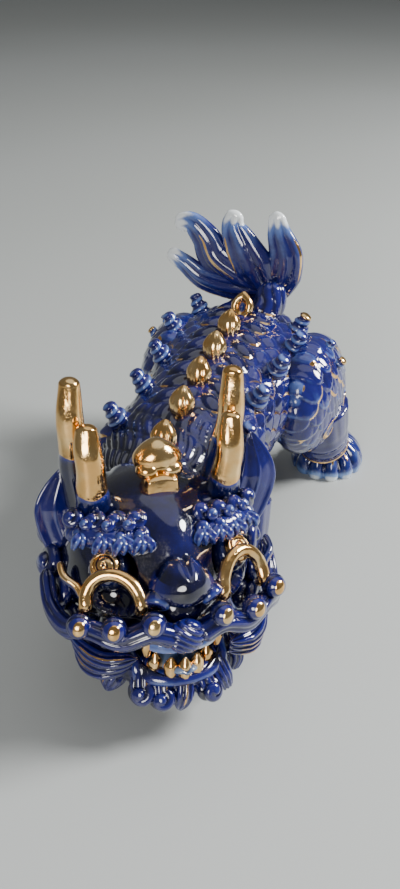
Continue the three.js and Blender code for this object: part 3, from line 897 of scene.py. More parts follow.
@dataclass
class Leg:
    """One leg: a pad-like thigh or shoulder and a shin that runs down into the paw."""

    side: Side
    name: str
    thigh_centre: tuple[float, float, float]
    thigh_half: tuple[float, float, float]
    shin: tuple[tuple[float, float, float], ...]
    shin_half: tuple[float, ...]
    grid: tuple[int, int]
    gold_ring: float = 0.86
    scale_pitch: float = 6.6
    scale_width: float = 10.5
    scale_lift: float = 1.9
    scrolls: tuple[tuple[float, float, float, int], ...] = ((-14, 12, 9, 1), (8, 4, 10, -1))
    scroll_lift: float = 2.0

    def thigh_relief(self, polar: Array, azimuth: Array) -> Coat:
        """Ribbed scales that hang down and back, with two raised gold scrolls over them.

        A scroll is a spiral where the radius in turns less the angle comes back to a half; each
        is given by its place back and down, its size and its hand.

        Args:
            polar: angle from the pole.
            azimuth: angle round the pole.

        Returns:
            Height in millimetres, and the thin and gilt masks.
        """
        out, back = np.sin(polar) * np.cos(azimuth), np.sin(polar) * np.sin(azimuth)
        down = self.side.value * out * self.thigh_half[2]
        aft = back * self.thigh_half[1]
        along = down + 0.25 * aft + 60
        lift, apart, place, scatter = scales(along, aft, self.scale_pitch, self.scale_width)
        rib, rim, gold = scale_paint(apart, place, scatter)
        lines = np.zeros(polar.shape)
        for centre_aft, centre_down, size, hand in self.scrolls:
            reach = np.hypot(aft - centre_aft, down - centre_down) / size
            angle = np.arctan2(down - centre_down, aft - centre_aft)
            wind = np.mod(1.6 * reach - hand * angle / (2 * math.pi), 1.0)
            spiral = bump(wind, 0.5, 0.1) * ease(0.12, 0.25, reach) * (1 - ease(0.9, 1.0, reach))
            lines = np.maximum(lines, spiral * (np.abs(polar) < 1.5))
        ribbed = self.scale_lift * lift * (0.75 + 0.25 * rib)
        height = ribbed * (1 - lines) + self.scroll_lift * lines
        gilt = np.maximum(gold, 1.1 * ease(0.55, 0.85, lines) * (aft < 8))
        gilt = gilt * (1 - ease(1.3, 1.5, polar))
        thin = 0.14 + 0.28 * lift + 0.2 * rim + 0.14 * rib * lift + 0.3 * lines + 0.14 * (scatter - 0.5)
        return height, softened(thin), softened(gilt)

    def shin_relief(self, t: Array, angle: Array) -> Coat:
        """Soft folds above the ankle with one gold line round it, and strands down the back.

        Args:
            t: share of the shin's length, 0..1.
            angle: angle round its section.

        Returns:
            Height in millimetres, and the thin and gilt masks.
        """
        folds = ridge(t * 17, 0.6) * ease(0.45, 0.6, t)
        strand = ridge(angle * 7, 0.7) * (1 - ease(0.4, 0.6, t))
        line = bump(t, self.gold_ring, 0.014)
        return 0.7 * folds + 0.5 * strand + 0.5 * line, 0.24 + 0.2 * folds + 0.12 * strand, 1.2 * line

    def skins(self) -> list[Skin]:
        """The thigh's and the shin's skins.

        Returns:
            Both skins.
        """
        rings, sides = self.grid
        thigh = ball_skin(
            self.thigh_centre, self.thigh_half, self.thigh_relief, (self.side.value, 0, 0), rings, sides,
        )
        shin = limb_skin(self.shin, self.shin_half, self.shin_relief, ends=0.1, rings=100, sides=96)
        return [thigh, shin]


HAUNCH_OUT = {Side.LEFT: 6.0, Side.RIGHT: -2.0}


def hind_leg(side: Side) -> Leg:
    """The hind leg of a side; the left one steps out a little further.

    Args:
        side: the side it belongs to.

    Returns:
        The leg.
    """
    s, out = side.value, HAUNCH_OUT[side]
    shin = ((s * (40 + out), 64, 48), (s * (44 + out), 68, 30), (s * (46 + out), 76, 12))
    thigh = s * (36 + out), 62, 55
    return Leg(side, "hind_leg", thigh, (18.6, 35.6, 32.2), shin, (19, 16.8, 14.4, 13.4), (190, 210))


def foreleg(side: Side) -> Leg:
    """The foreleg of a side.

    Args:
        side: the side it belongs to.

    Returns:
        The leg.
    """
    s = side.value
    shin = ((s * 33, -30, 48), (s * 35, -36, 30), (s * 36, -40, 12))
    return Leg(side, "foreleg", (s * 31, -26, 50), (13, 18, 23), shin, (14.5, 13, 11.8), (130, 150))


@dataclass
class Paw:
    """A domed paw on a level sole, with five bulbous toes."""

    side: Side
    name: str
    centre: tuple[float, float]
    half: tuple[float, float]
    turn_out: float
    height: float = 21.5
    toe_step: float = 0.52

    def skin(self) -> Skin:
        """The paw: a ball whose lower part is pressed flat, its rim pushed out toe by toe.

        Round the front the radius swells by a parabola within each toe and pinches between
        toes; the dome sinks in the same grooves. Gold strokes mark the claws.

        Returns:
            The closed skin.
        """
        polar, azimuth = ball_grid(rings=100, sides=170)
        x, y, z = ball_points(rings=100, sides=170)
        heading = np.arctan2(x, -y)
        front = bump(heading, 0, 1.45) ** 1.5
        place = heading / self.toe_step
        aside = 2 * np.abs(place - np.round(place))
        toes = front * (np.abs(place) < 2.5)
        rim = np.sin(polar)
        swell = 1 - toes * (0.01 + 0.16 * aside**2.5)
        dome = np.maximum(z + 0.22, 0) / 1.22
        knuckle = toes * bump(rim, 0.86, 0.16) * (1 - aside**2)
        tall = self.height * (1 - 0.36 * np.maximum(-y, 0) ** 1.3)
        pinch = 1 - 0.3 * toes * aside**3 * ease(0.45, 0.95, rim)
        level = dome * tall * pinch + 2.2 * knuckle * (z > -0.2)
        base = 1 - ease(2.0, 7.5, level)
        comb = ridge(azimuth * 9 + 2.5 * rim, 0.7) * (1 - toes) * ease(0.35, 0.6, rim)
        level = level - 0.5 * (1 - comb) * (1 - toes) * ease(0.35, 0.6, rim) * (z > 0)
        spread = np.stack([x * self.half[0] * swell, y * self.half[1] * swell, level], -1)
        thin = 0.3 + 0.6 * base * np.maximum(front, 0.4) + 0.24 * knuckle
        thin = thin - 0.3 * toes * aside**4 + 0.14 * comb
        claw = toes * bump(place - np.round(place), 0.0, 0.07) * bump(rim, 0.8, 0.1) * (z > 0.1)
        matrix = turn("z", self.turn_out * self.side.value)
        return Skin(spread, thin, 1.3 * claw).placed(matrix, (*self.centre, 0.0))


@dataclass
class SpinePlate:
    """A ribbed, leaning gold bud; the hooded one is scooped out in front."""

    y: float
    hooded: bool
    width: float = 6.4
    thickness: float = 4.2
    height: float = 8.2
    lean: float = 24.0
    rise: float = 4.6

    def skin(self, trunk: Trunk) -> Skin:
        """The bud: a ball drawn to a point above, with ribs of |cos| on its front face.

        Args:
            trunk: the body that the bud stands on.

        Returns:
            The closed skin.
        """
        x, y, z = ball_points(rings=58, sides=74)
        taper = 1 - 0.42 * np.maximum(z, 0) ** 2
        face = ease(0.1, 0.6, -y)
        ribs = ridge(x * 3.9 * (1 + 0.3 * z), 0.8) * face * (1 - ease(0.75, 0.95, z))
        scoop = face * bump(x, 0, 0.42) * bump(z, -0.05, 0.5) if self.hooded else 0 * x
        points = np.stack([
            x * self.width * taper,
            y * self.thickness * taper - 0.7 * ribs * (0 if self.hooded else 1) + 5.2 * scoop,
            z * self.height,
        ], -1)
        middle = trunk.at(self.y, 0.0)[2] + self.rise
        skin = Skin(points, 0.2 + 0.3 * ribs, 1 - 0.75 * scoop)
        return skin.placed(turn("x", -self.lean), (0, self.y, middle))


@dataclass
class Knob:
    """A snail-shaped knob: tiers that wind up to a bead."""

    foot: Array
    direction: Array
    scale: float
    gold_tip: bool
    radius: float = 6.2
    height: float = 12.6
    taper: float = 0.62
    tiers: float = 2.7

    def skin(self) -> Skin:
        """The knob: radius (1 - taper s) swelled by cos of a phase that winds with the angle.

        Returns:
            The closed skin.
        """
        rings, sides = 72, 48
        share = np.linspace(0.0, 1.0, rings)[:, None]
        angle = np.linspace(0.0, 2 * math.pi, sides, endpoint=False)[None, :]
        up = share - 0.24 * (1 - share) * (share < 0.02)
        wave = np.cos(2 * math.pi * share * self.tiers - angle)
        swell = 1 + 0.11 * np.sign(wave) * np.abs(wave) ** 0.6 * (1 - ease(0.8, 0.95, share))
        body = (1 - self.taper * share) * swell + 0.1 * bump(share, 0.88, 0.07)
        width = body * round_ends(share, 0.07) * self.radius * self.scale
        level = up * self.height * self.scale + 0 * angle
        points = np.stack([width * np.cos(angle), width * np.sin(angle), level], -1)
        thin = 0.36 + 0.34 * ease(-0.4, 1.0, wave) * ease(0.05, 0.3, share) + 0 * angle
        gilt = (ease(0.8, 0.86, share) + 0 * angle) * self.gold_tip
        return Skin(points, thin, gilt).placed(upright_onto(self.direction), self.foot)


@dataclass
class FlameTail:
    """A stalk and four flat, grooved lobes that sweep out of it and end in pale tips."""

    root: tuple[float, float, float] = (13.0, 94.0, 92.0)
    flatness: float = 0.5
    lobes: tuple[tuple[tuple, tuple], ...] = (
        (((-6, 6), (-26, 6), (-44, 9), (-56, 16.5), (-66, 22)), (6, 8.5, 8, 6, 4.2)),
        (((-2, 7), (-22, 13.5), (-37, 22), (-44, 33), (-53, 40), (-62, 38)), (7, 12.5, 11.5, 9, 6.6, 4.6)),
        (((-5, 4), (-14, 19), (-22, 31), (-27, 42), (-25, 50.4)), (7, 13, 11, 7.4, 4)),
        (((-2, 2), (2.4, 16), (3, 28), (-1, 40), (-3, 51.8)), (7, 11, 10.4, 7.4, 3.8)),
    )

    def lobe_relief(self, order: int) -> Relief:
        """Lengthwise grooves that gather towards the tip, a few of them gilt; white tips.

        Args:
            order: the lobe's number, which shifts its grooves.

        Returns:
            A relief of t along and the angle round.
        """

        def relief(t: Array, angle: Array) -> Coat:
            """The grooves, gold on some crests, and the pale tip.

            Args:
                t: share of the limb's length, 0..1.
                angle: angle round its section.

            Returns:
                Height in millimetres, and the thin and gilt masks.
            """
            across = np.cos(angle)
            groove = ridge(across * 4.2 + 0.7 * np.sin(3 * t + order), 0.9)
            crest = ease(0.94, 0.995, groove) * (hashed(np.round(across * 1.7), order + 0 * t) > 0.6)
            tip = ease(0.62, 1.0, t)
            fade = 1 - ease(0.82, 0.97, t)
            height = 0.8 * (groove - 1) * fade
            thin = 0.2 + 0.16 * groove**2 + 0.22 * ease(0.1, 0.6, t) + 0.6 * tip
            return height, thin, crest * ease(0.15, 0.3, t) * (1 - ease(0.55, 0.75, t))

        return relief

    def skins(self) -> list[Skin]:
        """The stalk and the lobes, each lobe by its path across and up from the root and its widths.

        Returns:
            The stalk's skin and then the lobes'.
        """
        x, y, z = self.root
        stalk = limb_skin(
            ((x - 7, y - 16, z - 8), (x - 2, y - 6, z + 2), (x - 3, y, z + 13)), (10, 9.4, 8),
            strands(9, 0.9, 1.4, 0.12), ends=0.25, rings=70, sides=84,
        )
        made = [stalk]
        for order, (path, half) in enumerate(self.lobes):
            knots = [(x + across, y + 1.5 * (order % 2), z + up) for across, up in path]
            relief = self.lobe_relief(order)
            made.append(limb_skin(knots, half, relief, self.flatness, ends=0.08, rings=150, sides=110))
        return made


# ---- Head -------------------------------------------------------------------------------------
def fwd(x: float, forward: float, z: float) -> tuple[float, float, float]:
    """A point of the head's frame, whose face looks towards -Y."""
    return (x, -forward, z)


def fwd_path(places: Sequence[Sequence[float]], s: int = 1) -> list[tuple[float, float, float]]:
    """Several such points, on the side whose sign is given."""
    return [fwd(s * x, forward, z) for x, forward, z in places]


EYE_SEAT = (24.0, 26.0, 6.5)  # aside, forward and up from the head's middle
MOUTH_FORWARD, MOUTH_RIM = 43.0, -23.0  # middle of the mouth's hollow, and its level


@dataclass
class HeadPose:
    """How the head sits on the neck."""

    centre: tuple[float, float, float] = (10.0, -85.0, 54.0)
    turned_left: float = 38.0
    lifted: float = 9.0
    rolled: float = 4.7

    def matrix(self) -> Array:
        """Roll about Y, then lift about X, then turn about Z."""
        return turn("z", self.turned_left) @ turn("x", -self.lifted) @ turn("y", self.rolled)

    def set(self, skins: Sequence[Skin]) -> list[Skin]:
        """Skins of the head's frame carried into the design frame."""
        return [skin.placed(self.matrix(), self.centre) for skin in skins]


def ray_into(directions: Array, centre: Sequence[float], half: Sequence[float]) -> Array:
    """How far a ray from the origin goes before it enters an ellipsoid.

    Solves |(r d - c) / h| = 1 for the nearer r.

    Args:
        directions: unit directions.
        centre: the ellipsoid's middle.
        half: its half sizes.

    Returns:
        The distance along each ray, or MISS where it meets nothing.
    """
    d = directions / np.asarray(half, float)
    c = np.asarray(centre, float) / np.asarray(half, float)
    a, b, e = (d * d).sum(-1), (d * c).sum(-1), (c * c).sum() - 1
    inside = b * b - a * e
    near = (b - np.sqrt(np.maximum(inside, 0))) / a
    return np.where((inside > 0) & (near > 0), near, MISS)


def soft_least(first: Array, second: Array, softness: float) -> Array:
    """The smaller of two lengths, the crease between them rounded by a log-sum of exponentials."""
    gap = np.abs(first - second) / softness
    return np.minimum(first, second) - softness * np.log1p(np.exp(-gap))


@dataclass
class Skull:
    """The head shell: a ball with a snout, cheeks, brow dome, eye sockets and a mouth roof."""

    width: float = 39.0
    depth: float = 37.0
    height: float = 35.0
    snout: float = 13.0
    cheek: float = 0.1
    floor: float = -25.0
    socket_half: tuple[float, float, float] = (10.8, 9.5, 10.4)
    under_eye: tuple[float, float, float] = (26.3, 35.0, -3.0)
    under_eye_half: tuple[float, float, float] = (10.4, 11.0, 8.8)
    mouth_half: tuple[float, float, float] = (18.5, 28.0, 8.8)

    def skin(self, rings: int = 330, sides: int = 290) -> Skin:
        """The skull's skin, its poles at the muzzle and the nape.

        The form is the cast shell's; hollows are cut by stopping each ray from the middle where
        it meets the socket, cheek or mouth ellipsoid. Bells add the brow dome, the bridge of
        the nose, cheek pads and lips, and |cos| ridges comb the back of the head.

        Args:
            rings: grid rings from muzzle to nape.
            sides: grid sides round.

        Returns:
            The closed skin.
        """
        polar, azimuth = ball_grid(rings, sides)
        polar = polar - 0.22 * np.sin(polar)
        x, z, forward = np.moveaxis(sphere_points(polar, azimuth), -1, 0)
        front = np.maximum(forward, 0)
        snout = self.snout * front * bump(x, 0, 0.5) * bump(z, -0.22, 0.42)
        cheek = 1 + self.cheek * bump(z, -0.35, 0.35)
        level = z * self.height
        points = np.stack([
            x * self.width * cheek,
            -forward * self.depth - snout,
            np.maximum(level, self.floor + 0.15 * level),
        ], -1)
        far = np.linalg.norm(points, axis=-1)
        rays = points / far[..., None]
        px, py, pz = np.moveaxis(points, -1, 0)
        ahead = ease(2, 16, -py)
        dome = bump(px, 0, 9.5) * bump(pz, 23, 8) * ahead
        bridge = bump(px, 0, 8.5) * bump(pz, 11, 9) * ahead
        pads = bump(np.abs(px), 30, 8) * bump(pz, -9, 9) * ahead
        far = far + 3.6 * dome + 3.2 * bridge + 1.6 * pads
        hollow = np.full(far.shape, MISS)
        sockets = np.add(EYE_SEAT, (0.0, 2.5, 0.0))
        for s in (-1, 1):
            for place, half in ((sockets, self.socket_half), (self.under_eye, self.under_eye_half)):
                hollow = np.minimum(hollow, ray_into(rays, *fwd_path([place], s), half))
        mouth = ray_into(rays, fwd(0, MOUTH_FORWARD, MOUTH_RIM), self.mouth_half)
        cut = np.minimum(hollow, mouth)
        sunk = np.clip(far - cut, 0, 12)
        lip = bump(far - mouth, 0, 3.2) * (mouth < MISS)
        edge = bump(far - hollow, 0.5, 2.4) * (hollow < MISS)
        carved = soft_least(far + edge, cut, 0.55)
        nape = ease(1.75, 2.1, polar)
        comb = ridge(azimuth * 11 + 1.5 * np.sin(4 * polar), 0.6) * nape
        thin = 0.1 + 0.06 * dome + 0.5 * edge + 0.42 * lip + 0.2 * comb * nape
        thin = thin - 0.2 * ease(2, 8, sunk) + 0.06 * bridge
        skin = Skin(rays * carved[..., None], softened(thin, 2), 0 * thin)
        return skin.raised(softened(1.3 * comb))


@dataclass
class Mouth:
    """The lower jaw with its lip, the tongue, the gilt teeth and the upper fangs."""

    jaw_half: tuple[float, float, float] = (29.6, 32.6, 15.0)
    jaw_back: float = 19.0
    jaw_level: float = -33.0
    jaw_top: float = -25.4
    hollow_half: tuple[float, float] = (18.0, 28.0)
    hollow_depth: float = 8.5
    tongue_half: tuple[float, float, float] = (8.8, 14.8, 3.4)
    tongue_forward: float = 39.0
    tongue_level: float = -29.5
    tooth_half: tuple[float, float, float] = (2.85, 2.6, 5.4)
    tooth_pitch: float = 5.3

    def jaw(self) -> Skin:
        """A ball whose top is pressed down to the mouth's floor, with a pale raised lip.

        Returns:
            The closed skin.
        """
        x, y, z = ball_points(rings=130, sides=176)
        wide, long, high = self.jaw_half
        px, py, pz = x * wide, y * long - self.jaw_back, z * high + self.jaw_level
        across, along = px / self.hollow_half[0], (-py - MOUTH_FORWARD) / self.hollow_half[1]
        inside = 1 - across**2 - along**2
        floor = MOUTH_RIM - self.hollow_depth * np.sqrt(np.clip(inside, 0, 1))
        sunk = soft_least(pz, np.where(inside > 0, floor, MISS), 0.5)
        lip = bump(inside, -0.06, 0.13) * (z > -0.1) * ease(0.0, 0.5, -y)
        lip = np.maximum(lip, bump(pz, self.jaw_level, 2.4) * ease(0.75, 0.95, -y))
        folds = ridge(np.arctan2(px, -py) * 9, 0.6) * (z < -0.2)
        thin = softened(0.16 + 0.5 * lip + 0.1 * folds - 0.1 * (inside > 0.1), 2)
        skin = Skin(np.stack([px, py, np.minimum(sunk, self.jaw_top)], -1), thin, 0 * px)
        return skin.raised(softened(1.5 * lip + 0.5 * folds))

    def upper_lip(self) -> Skin:
        """A pale, wavy roll of glaze along the upper rim of the mouth.

        Returns:
            The closed skin.
        """
        return limb_skin(
            fwd_path(((-18, 38, -18), (-9, 47.5, -17.4), (0, 48.6, -18), (9, 47.5, -17.4), (18, 38, -18))),
            (2.6, 3.1, 2.8, 3.1, 2.6), strands(3, 0.3, 1.0, 0.62), across=UP, ends=0.1, rings=80, sides=40,
        )

    def tongue(self) -> Skin:
        """A flat lobe with a furrow down its middle and a lifted tip.

        Returns:
            The closed skin.
        """
        x, y, z = ball_points(rings=60, sides=90)
        wide, long, high = self.tongue_half
        furrow = bump(x, 0, 0.16) * (z > 0)
        level = z * high + self.tongue_level - 1.3 * furrow + 1.8 * ease(0.5, 1.0, -y)
        points = np.stack([x * wide, y * long - self.tongue_forward, level], -1)
        return Skin(points, 0.5 - 0.3 * furrow + 0.2 * (1 - np.abs(z)), 0 * x)

    def teeth(self) -> list[Skin]:
        """Five pointed teeth on one gum strip, each a ball drawn up to a point.

        Returns:
            The gum's skin and then the teeth's.
        """
        gum = limb_skin(
            fwd_path(((-13, 43, -31), (-7.5, 48, -31.6), (0, 49.5, -32), (7.5, 48, -31.6), (13, 43, -31))),
            (2.1, 2.1), plain(0.35, 0.1), across=UP, ends=0.08, rings=50, sides=20,
        )
        azimuth = ball_grid(rings=44, sides=40)[1]
        x, y, z = ball_points(rings=44, sides=40)
        wide, deep, high = self.tooth_half
        draw = 1 - 0.58 * ease(0.05, 1.0, z) ** 1.3
        facet = 1 + 0.05 * np.cos(4 * azimuth)
        full = np.sqrt(np.maximum(1 - z**4, 0)) / np.maximum(np.sqrt(1 - z**2), 1e-6)
        full = np.where(np.abs(z) > 0.999, 1.0, full) * draw * facet
        points = np.stack([x * wide * full, y * deep * full, z * high], -1)
        tooth = Skin(points, 0.4 + 0 * x, 1 - 0.8 * (z < -0.75))
        seats = [fwd(order * self.tooth_pitch, 50.2 - 1.5 * order**2, -28.0) for order in range(-2, 3)]
        return [gum, *(tooth.placed(np.eye(3), seat) for seat in seats)]

    def fang(self, side: Side) -> Skin:
        """A long gilt tooth that hangs from the upper lip."""
        knots = fwd_path(((14.5, 44.5, -13.8), (14.6, 45.2, -18.5), (14.2, 45.4, -23.6)), side.value)
        return limb_skin(knots, (2.8, 2.4, 0.9), plain(0.3, 1.0), ends=0.15, rings=40, sides=24)


@dataclass
class Eyes:
    """Bulging dark balls, gilt pupil discs, and the gilt hoops and corners of the lower lids."""

    radius: float = 8.6
    pupil: float = 6.1
    look: tuple[float, float, float] = (0.45, -0.62, 0.64)
    lid_x: float = 26.3
    lid_forward: float = 42.0
    lid_z: float = 0.3
    lid_reach: float = 10.0
    lid_rise: float = 11.5
    band: float = 2.6

    def seat(self, side: Side) -> Array:
        """The middle of an eyeball."""
        return np.array(*fwd_path([EYE_SEAT], side.value))

    def gaze(self, side: Side) -> Array:
        """The direction in which an eye looks."""
        return unit(np.array([side.value * self.look[0], *self.look[1:]]))

    def ball(self, side: Side) -> Skin:
        """An eyeball with a faint paler ring where the glaze breaks over its front.

        Args:
            side: the side it belongs to.

        Returns:
            The closed skin.
        """

        def relief(polar: Array, azimuth: Array) -> Coat:
            """The low paler ring."""
            return 0.25 * bump(polar, 0.95, 0.1), 0.2 + 0.3 * bump(polar, 0.95, 0.14) + 0 * azimuth, 0 * polar

        half = (self.radius - 0.15,) * 3
        return ball_skin(self.seat(side), half, relief, self.gaze(side), rings=70, sides=90)

    def pupil_skin(self, side: Side) -> Skin:
        """A gilt disc: a thick rim, and inside it a low cone cut by one winding groove.

        The groove is where 2.3 turns per radius less the angle comes back to a half.

        Args:
            side: the side it belongs to.

        Returns:
            The closed skin.
        """
        polar, azimuth = ball_grid(rings=110, sides=110)
        out = np.sin(polar)
        top = np.cos(polar) > 0
        wind = np.mod(out * 2.3 - side.value * azimuth / (2 * math.pi), 1.0)
        groove = bump(wind, 0.5, 0.13) * ease(0.14, 0.24, out) * (1 - ease(0.8, 0.9, out))
        dot = 1 - ease(0.07, 0.13, out)
        sunk = np.maximum(groove, dot) * top
        rim = ease(0.62, 0.72, out) * (1 - ease(0.93, 1.0, out))
        reach = out * self.pupil
        drop = np.sqrt(np.maximum(self.radius**2 - reach**2, 0)) - self.radius
        level = np.where(top, drop + 0.5 + rim + 0.9 * (1 - out) - 0.9 * sunk, drop - 0.4)
        points = np.stack([reach * np.cos(azimuth), reach * np.sin(azimuth), level], -1)
        seat = self.seat(side) + self.gaze(side) * (self.radius + 0.1)
        gilt = 1 - ease(0.35, 0.7, sunk)
        return Skin(points, 0.08 + 0 * out, gilt).placed(upright_onto(self.gaze(side)), seat)

    def lid(self, side: Side) -> list[Skin]:
        """The hoop, half an ellipse that leans back with its feet run under it, and the corner.

        Across the hoop runs cos, up it runs sin of one angle; the corner is a wavy edge of the
        cheek with gold on its crest.

        Args:
            side: the side it belongs to.

        Returns:
            The hoop's and the corner's skins.
        """
        s = side.value
        angle = np.linspace(0.0, math.pi, 9)
        c, up = np.cos(angle), np.sin(angle)
        arch = np.stack([
            s * (self.lid_x + self.lid_reach * c),
            -(self.lid_forward - 4.2 * c - 6 * up),
            self.lid_z - 0.9 * c + (self.lid_rise + 1.3 * s) * up,
        ], -1)
        outer, inner = fwd_path((
            (self.lid_x + self.lid_reach, 33, -5),
            (self.lid_x - self.lid_reach, 41, -5),
        ), s)

        def band(t: Array, around: Array) -> Coat:
            """Gold but for the two feet, on a slightly squared section."""
            return 0.14 * np.cos(2 * around), 0.45 + 0 * t, 1 - bump(t, 0, 0.05) - bump(t, 1, 0.05)

        def crest(t: Array, around: Array) -> Coat:
            """A raised gold line along the corner's upper side."""
            top = ease(0.1, 0.75, -s * np.sin(around)) * ease(0.02, 0.1, t)
            return 0.5 * top, 0.2 + 0.3 * top, 1.2 * top

        knots = np.vstack([[outer], arch, [inner]])
        hoop = limb_skin(knots, (self.band,) * 2, band, ends=0.05, rings=130, sides=32)
        edge = fwd_path(((36, 37, -1), (38.5, 32, 4), (42.5, 28, 7), (43, 21, 9.5)), s)
        corner = limb_skin(edge, (1.5, 1.5), crest, across=UP, ends=0.1, rings=90, sides=32)
        return [hoop, corner]


@dataclass
class Brow:
    """A ridge of combed strands crowned by ball curls."""

    side: Side
    curls: int = 4
    back_radius: float = 4.7
    front_radius: float = 3.8
    between_radius: float = 3.0
    sweep: float = 9.5
    spacing: float = 2.7

    def skins(self) -> list[Skin]:
        """The ridge, two rows of curls with small ones between, and the strands that hang from them.

        From the nose outwards t runs from 0 to 1, and every row sweeps back by t squared.

        Returns:
            The ridge's skin, then the curls' and strands'.
        """
        s = self.side.value
        ridge_path = fwd_path(((8, 28, 18), (20, 26.5, 19.5), (31, 20.5, 19.5), (38, 11, 17)), s)
        made = [limb_skin(ridge_path, (4.0, 4.6, 4.6, 4.0), self.comb, across=UP, rings=130, sides=60)]
        for order in range(self.curls):
            t = order / (self.curls - 1)
            swept = self.sweep * t * t
            seat = fwd(s * (13 + 23 * t), 23 - swept, 25.6 - 1.5 * t)
            made.append(curl(seat, self.back_radius, (s * (0.2 + 0.5 * t), -0.75, 0.65), 0.24))
            low = fwd(s * (12.5 + 21.5 * t), 28.4 - swept, 21.6 - t)
            made.append(curl(low, self.front_radius, (s * (0.2 + 0.4 * t), -0.9, 0.4), 0.34))
            if order < self.curls - 1:
                half_way = t + 0.5 / (self.curls - 1)
                high = fwd(s * (13 + 23 * half_way), 27 - self.sweep * half_way**2, 26.2 - 1.5 * half_way)
                axis = (s * (0.2 + 0.5 * half_way), -0.85, 0.6)
                made.append(curl(high, self.between_radius, axis, 0.4))
            for lean in (-self.spacing, 0, self.spacing):
                foot = fwd(s * (13 + 21.5 * t) + 1.3 * lean, 32 - swept, 15.2)
                middle = fwd(s * (12.5 + 21.5 * t) + lean, 33 - swept, 19.6)
                strand = strands(5, 0.4, 0.8, 0.34)
                knots, half = (low, middle, foot), (2.0, 2.3, 1.1)
                made.append(limb_skin(knots, half, strand, ends=0.2, rings=36, sides=24))
        return made

    @staticmethod
    def comb(t: Array, angle: Array) -> Coat:
        """Faint cross strands on pale, thin glaze."""
        strand = ridge(t * 30 + 1.5 * np.sin(angle), 0.6)
        return 0.2 * (strand - 1), 0.36 + 0.12 * strand + 0 * angle, 0 * t


@dataclass
class Horn:
    """A blunt, gently fluted prong, gold above a blue foot."""

    side: Side
    rear: bool
    half: tuple[float, ...] = (7.1, 6.8, 6.1, 5.2, 4.2)

    def skin(self) -> Skin:
        """The prong, its flutes fading at the blunt tip.

        Returns:
            The closed skin.
        """
        s = self.side.value
        if self.rear:
            path, gold_from, ends = ((29, 7, 18), (32, 5.5, 40), (33.5, 1, 58), (33.5, 1.5, 77.6)), 0.43, 0.05
        else:
            path, gold_from, ends = ((27, -8, 24), (28, -11, 37), (29, -11.5, 50), (29.5, -9, 62)), 0.26, 0.07

        def relief(t: Array, angle: Array) -> Coat:
            """Flutes and slow swellings, and the edge of the gold at the foot.

            Args:
                t: share of the limb's length, 0..1.
                angle: angle round its section.

            Returns:
                Height in millimetres, and the thin and gilt masks.
            """
            flute = ridge(angle * 1.5 + 1.6 * t, 1.2)
            tip = ease(0.94, 1.0, t)
            gilt = ease(gold_from - 0.012, gold_from + 0.012, t + 0.012 * np.sin(3 * angle))
            swell = 0.3 * (np.sin(9 * t + 1.0) + 0.6 * np.sin(15 * t + angle)) * (1 - tip)
            waist = bump(t, gold_from, 0.03)
            height = swell - 0.45 * (1 - flute) * (1 - tip) - 0.25 * waist
            return height, 0.12 + 0.6 * tip + 0.2 * waist, gilt * (1 - 0.4 * tip)

        knots = [(s * x, y, z) for x, y, z in path]
        return limb_skin(knots, self.half, relief, ends=ends, rings=120, sides=64)


@dataclass
class Ear:
    """A leaf that sweeps out and up, hollowed along its front face."""

    side: Side
    half: tuple[float, ...] = (6.0, 8.3, 8.3, 4.0)
    flatness: float = 0.42

    def skin(self) -> Skin:
        """The leaf: a flat limb whose front is scooped between two thick pale edges.

        Returns:
            The closed skin.
        """

        def relief(t: Array, angle: Array) -> Coat:
            """The scoop with a low vein, and the two edges.

            Args:
                t: share of the limb's length, 0..1.
                angle: angle round its section.

            Returns:
                Height in millimetres, and the thin and gilt masks.
            """
            face = -np.sin(angle)
            scoop = ease(0.15, 0.8, face) * bump(t, 0.5, 0.36)
            edge = bump(np.abs(np.cos(angle)), 1.0, 0.14)
            vein = bump(np.cos(angle), 0, 0.06) * ease(0.3, 0.6, face)
            thin = 0.2 + 0.26 * edge * ease(0.1, 0.4, t) + 0.1 * vein + 0.24 * scoop
            return -2.0 * scoop + 0.3 * edge + 0.4 * vein, thin, 0 * t

        if self.side is Side.LEFT:
            knots = ((36, 2, 0), (44, 4, 9), (49.5, 6, 24), (46, 9, 44))
        else:
            knots = ((-30, 2, -4), (-37, 3, 5), (-40.5, 6, 19), (-36, 9, 36))
        return limb_skin(knots, self.half, relief, self.flatness, ends=0.3, rings=110, sides=90)


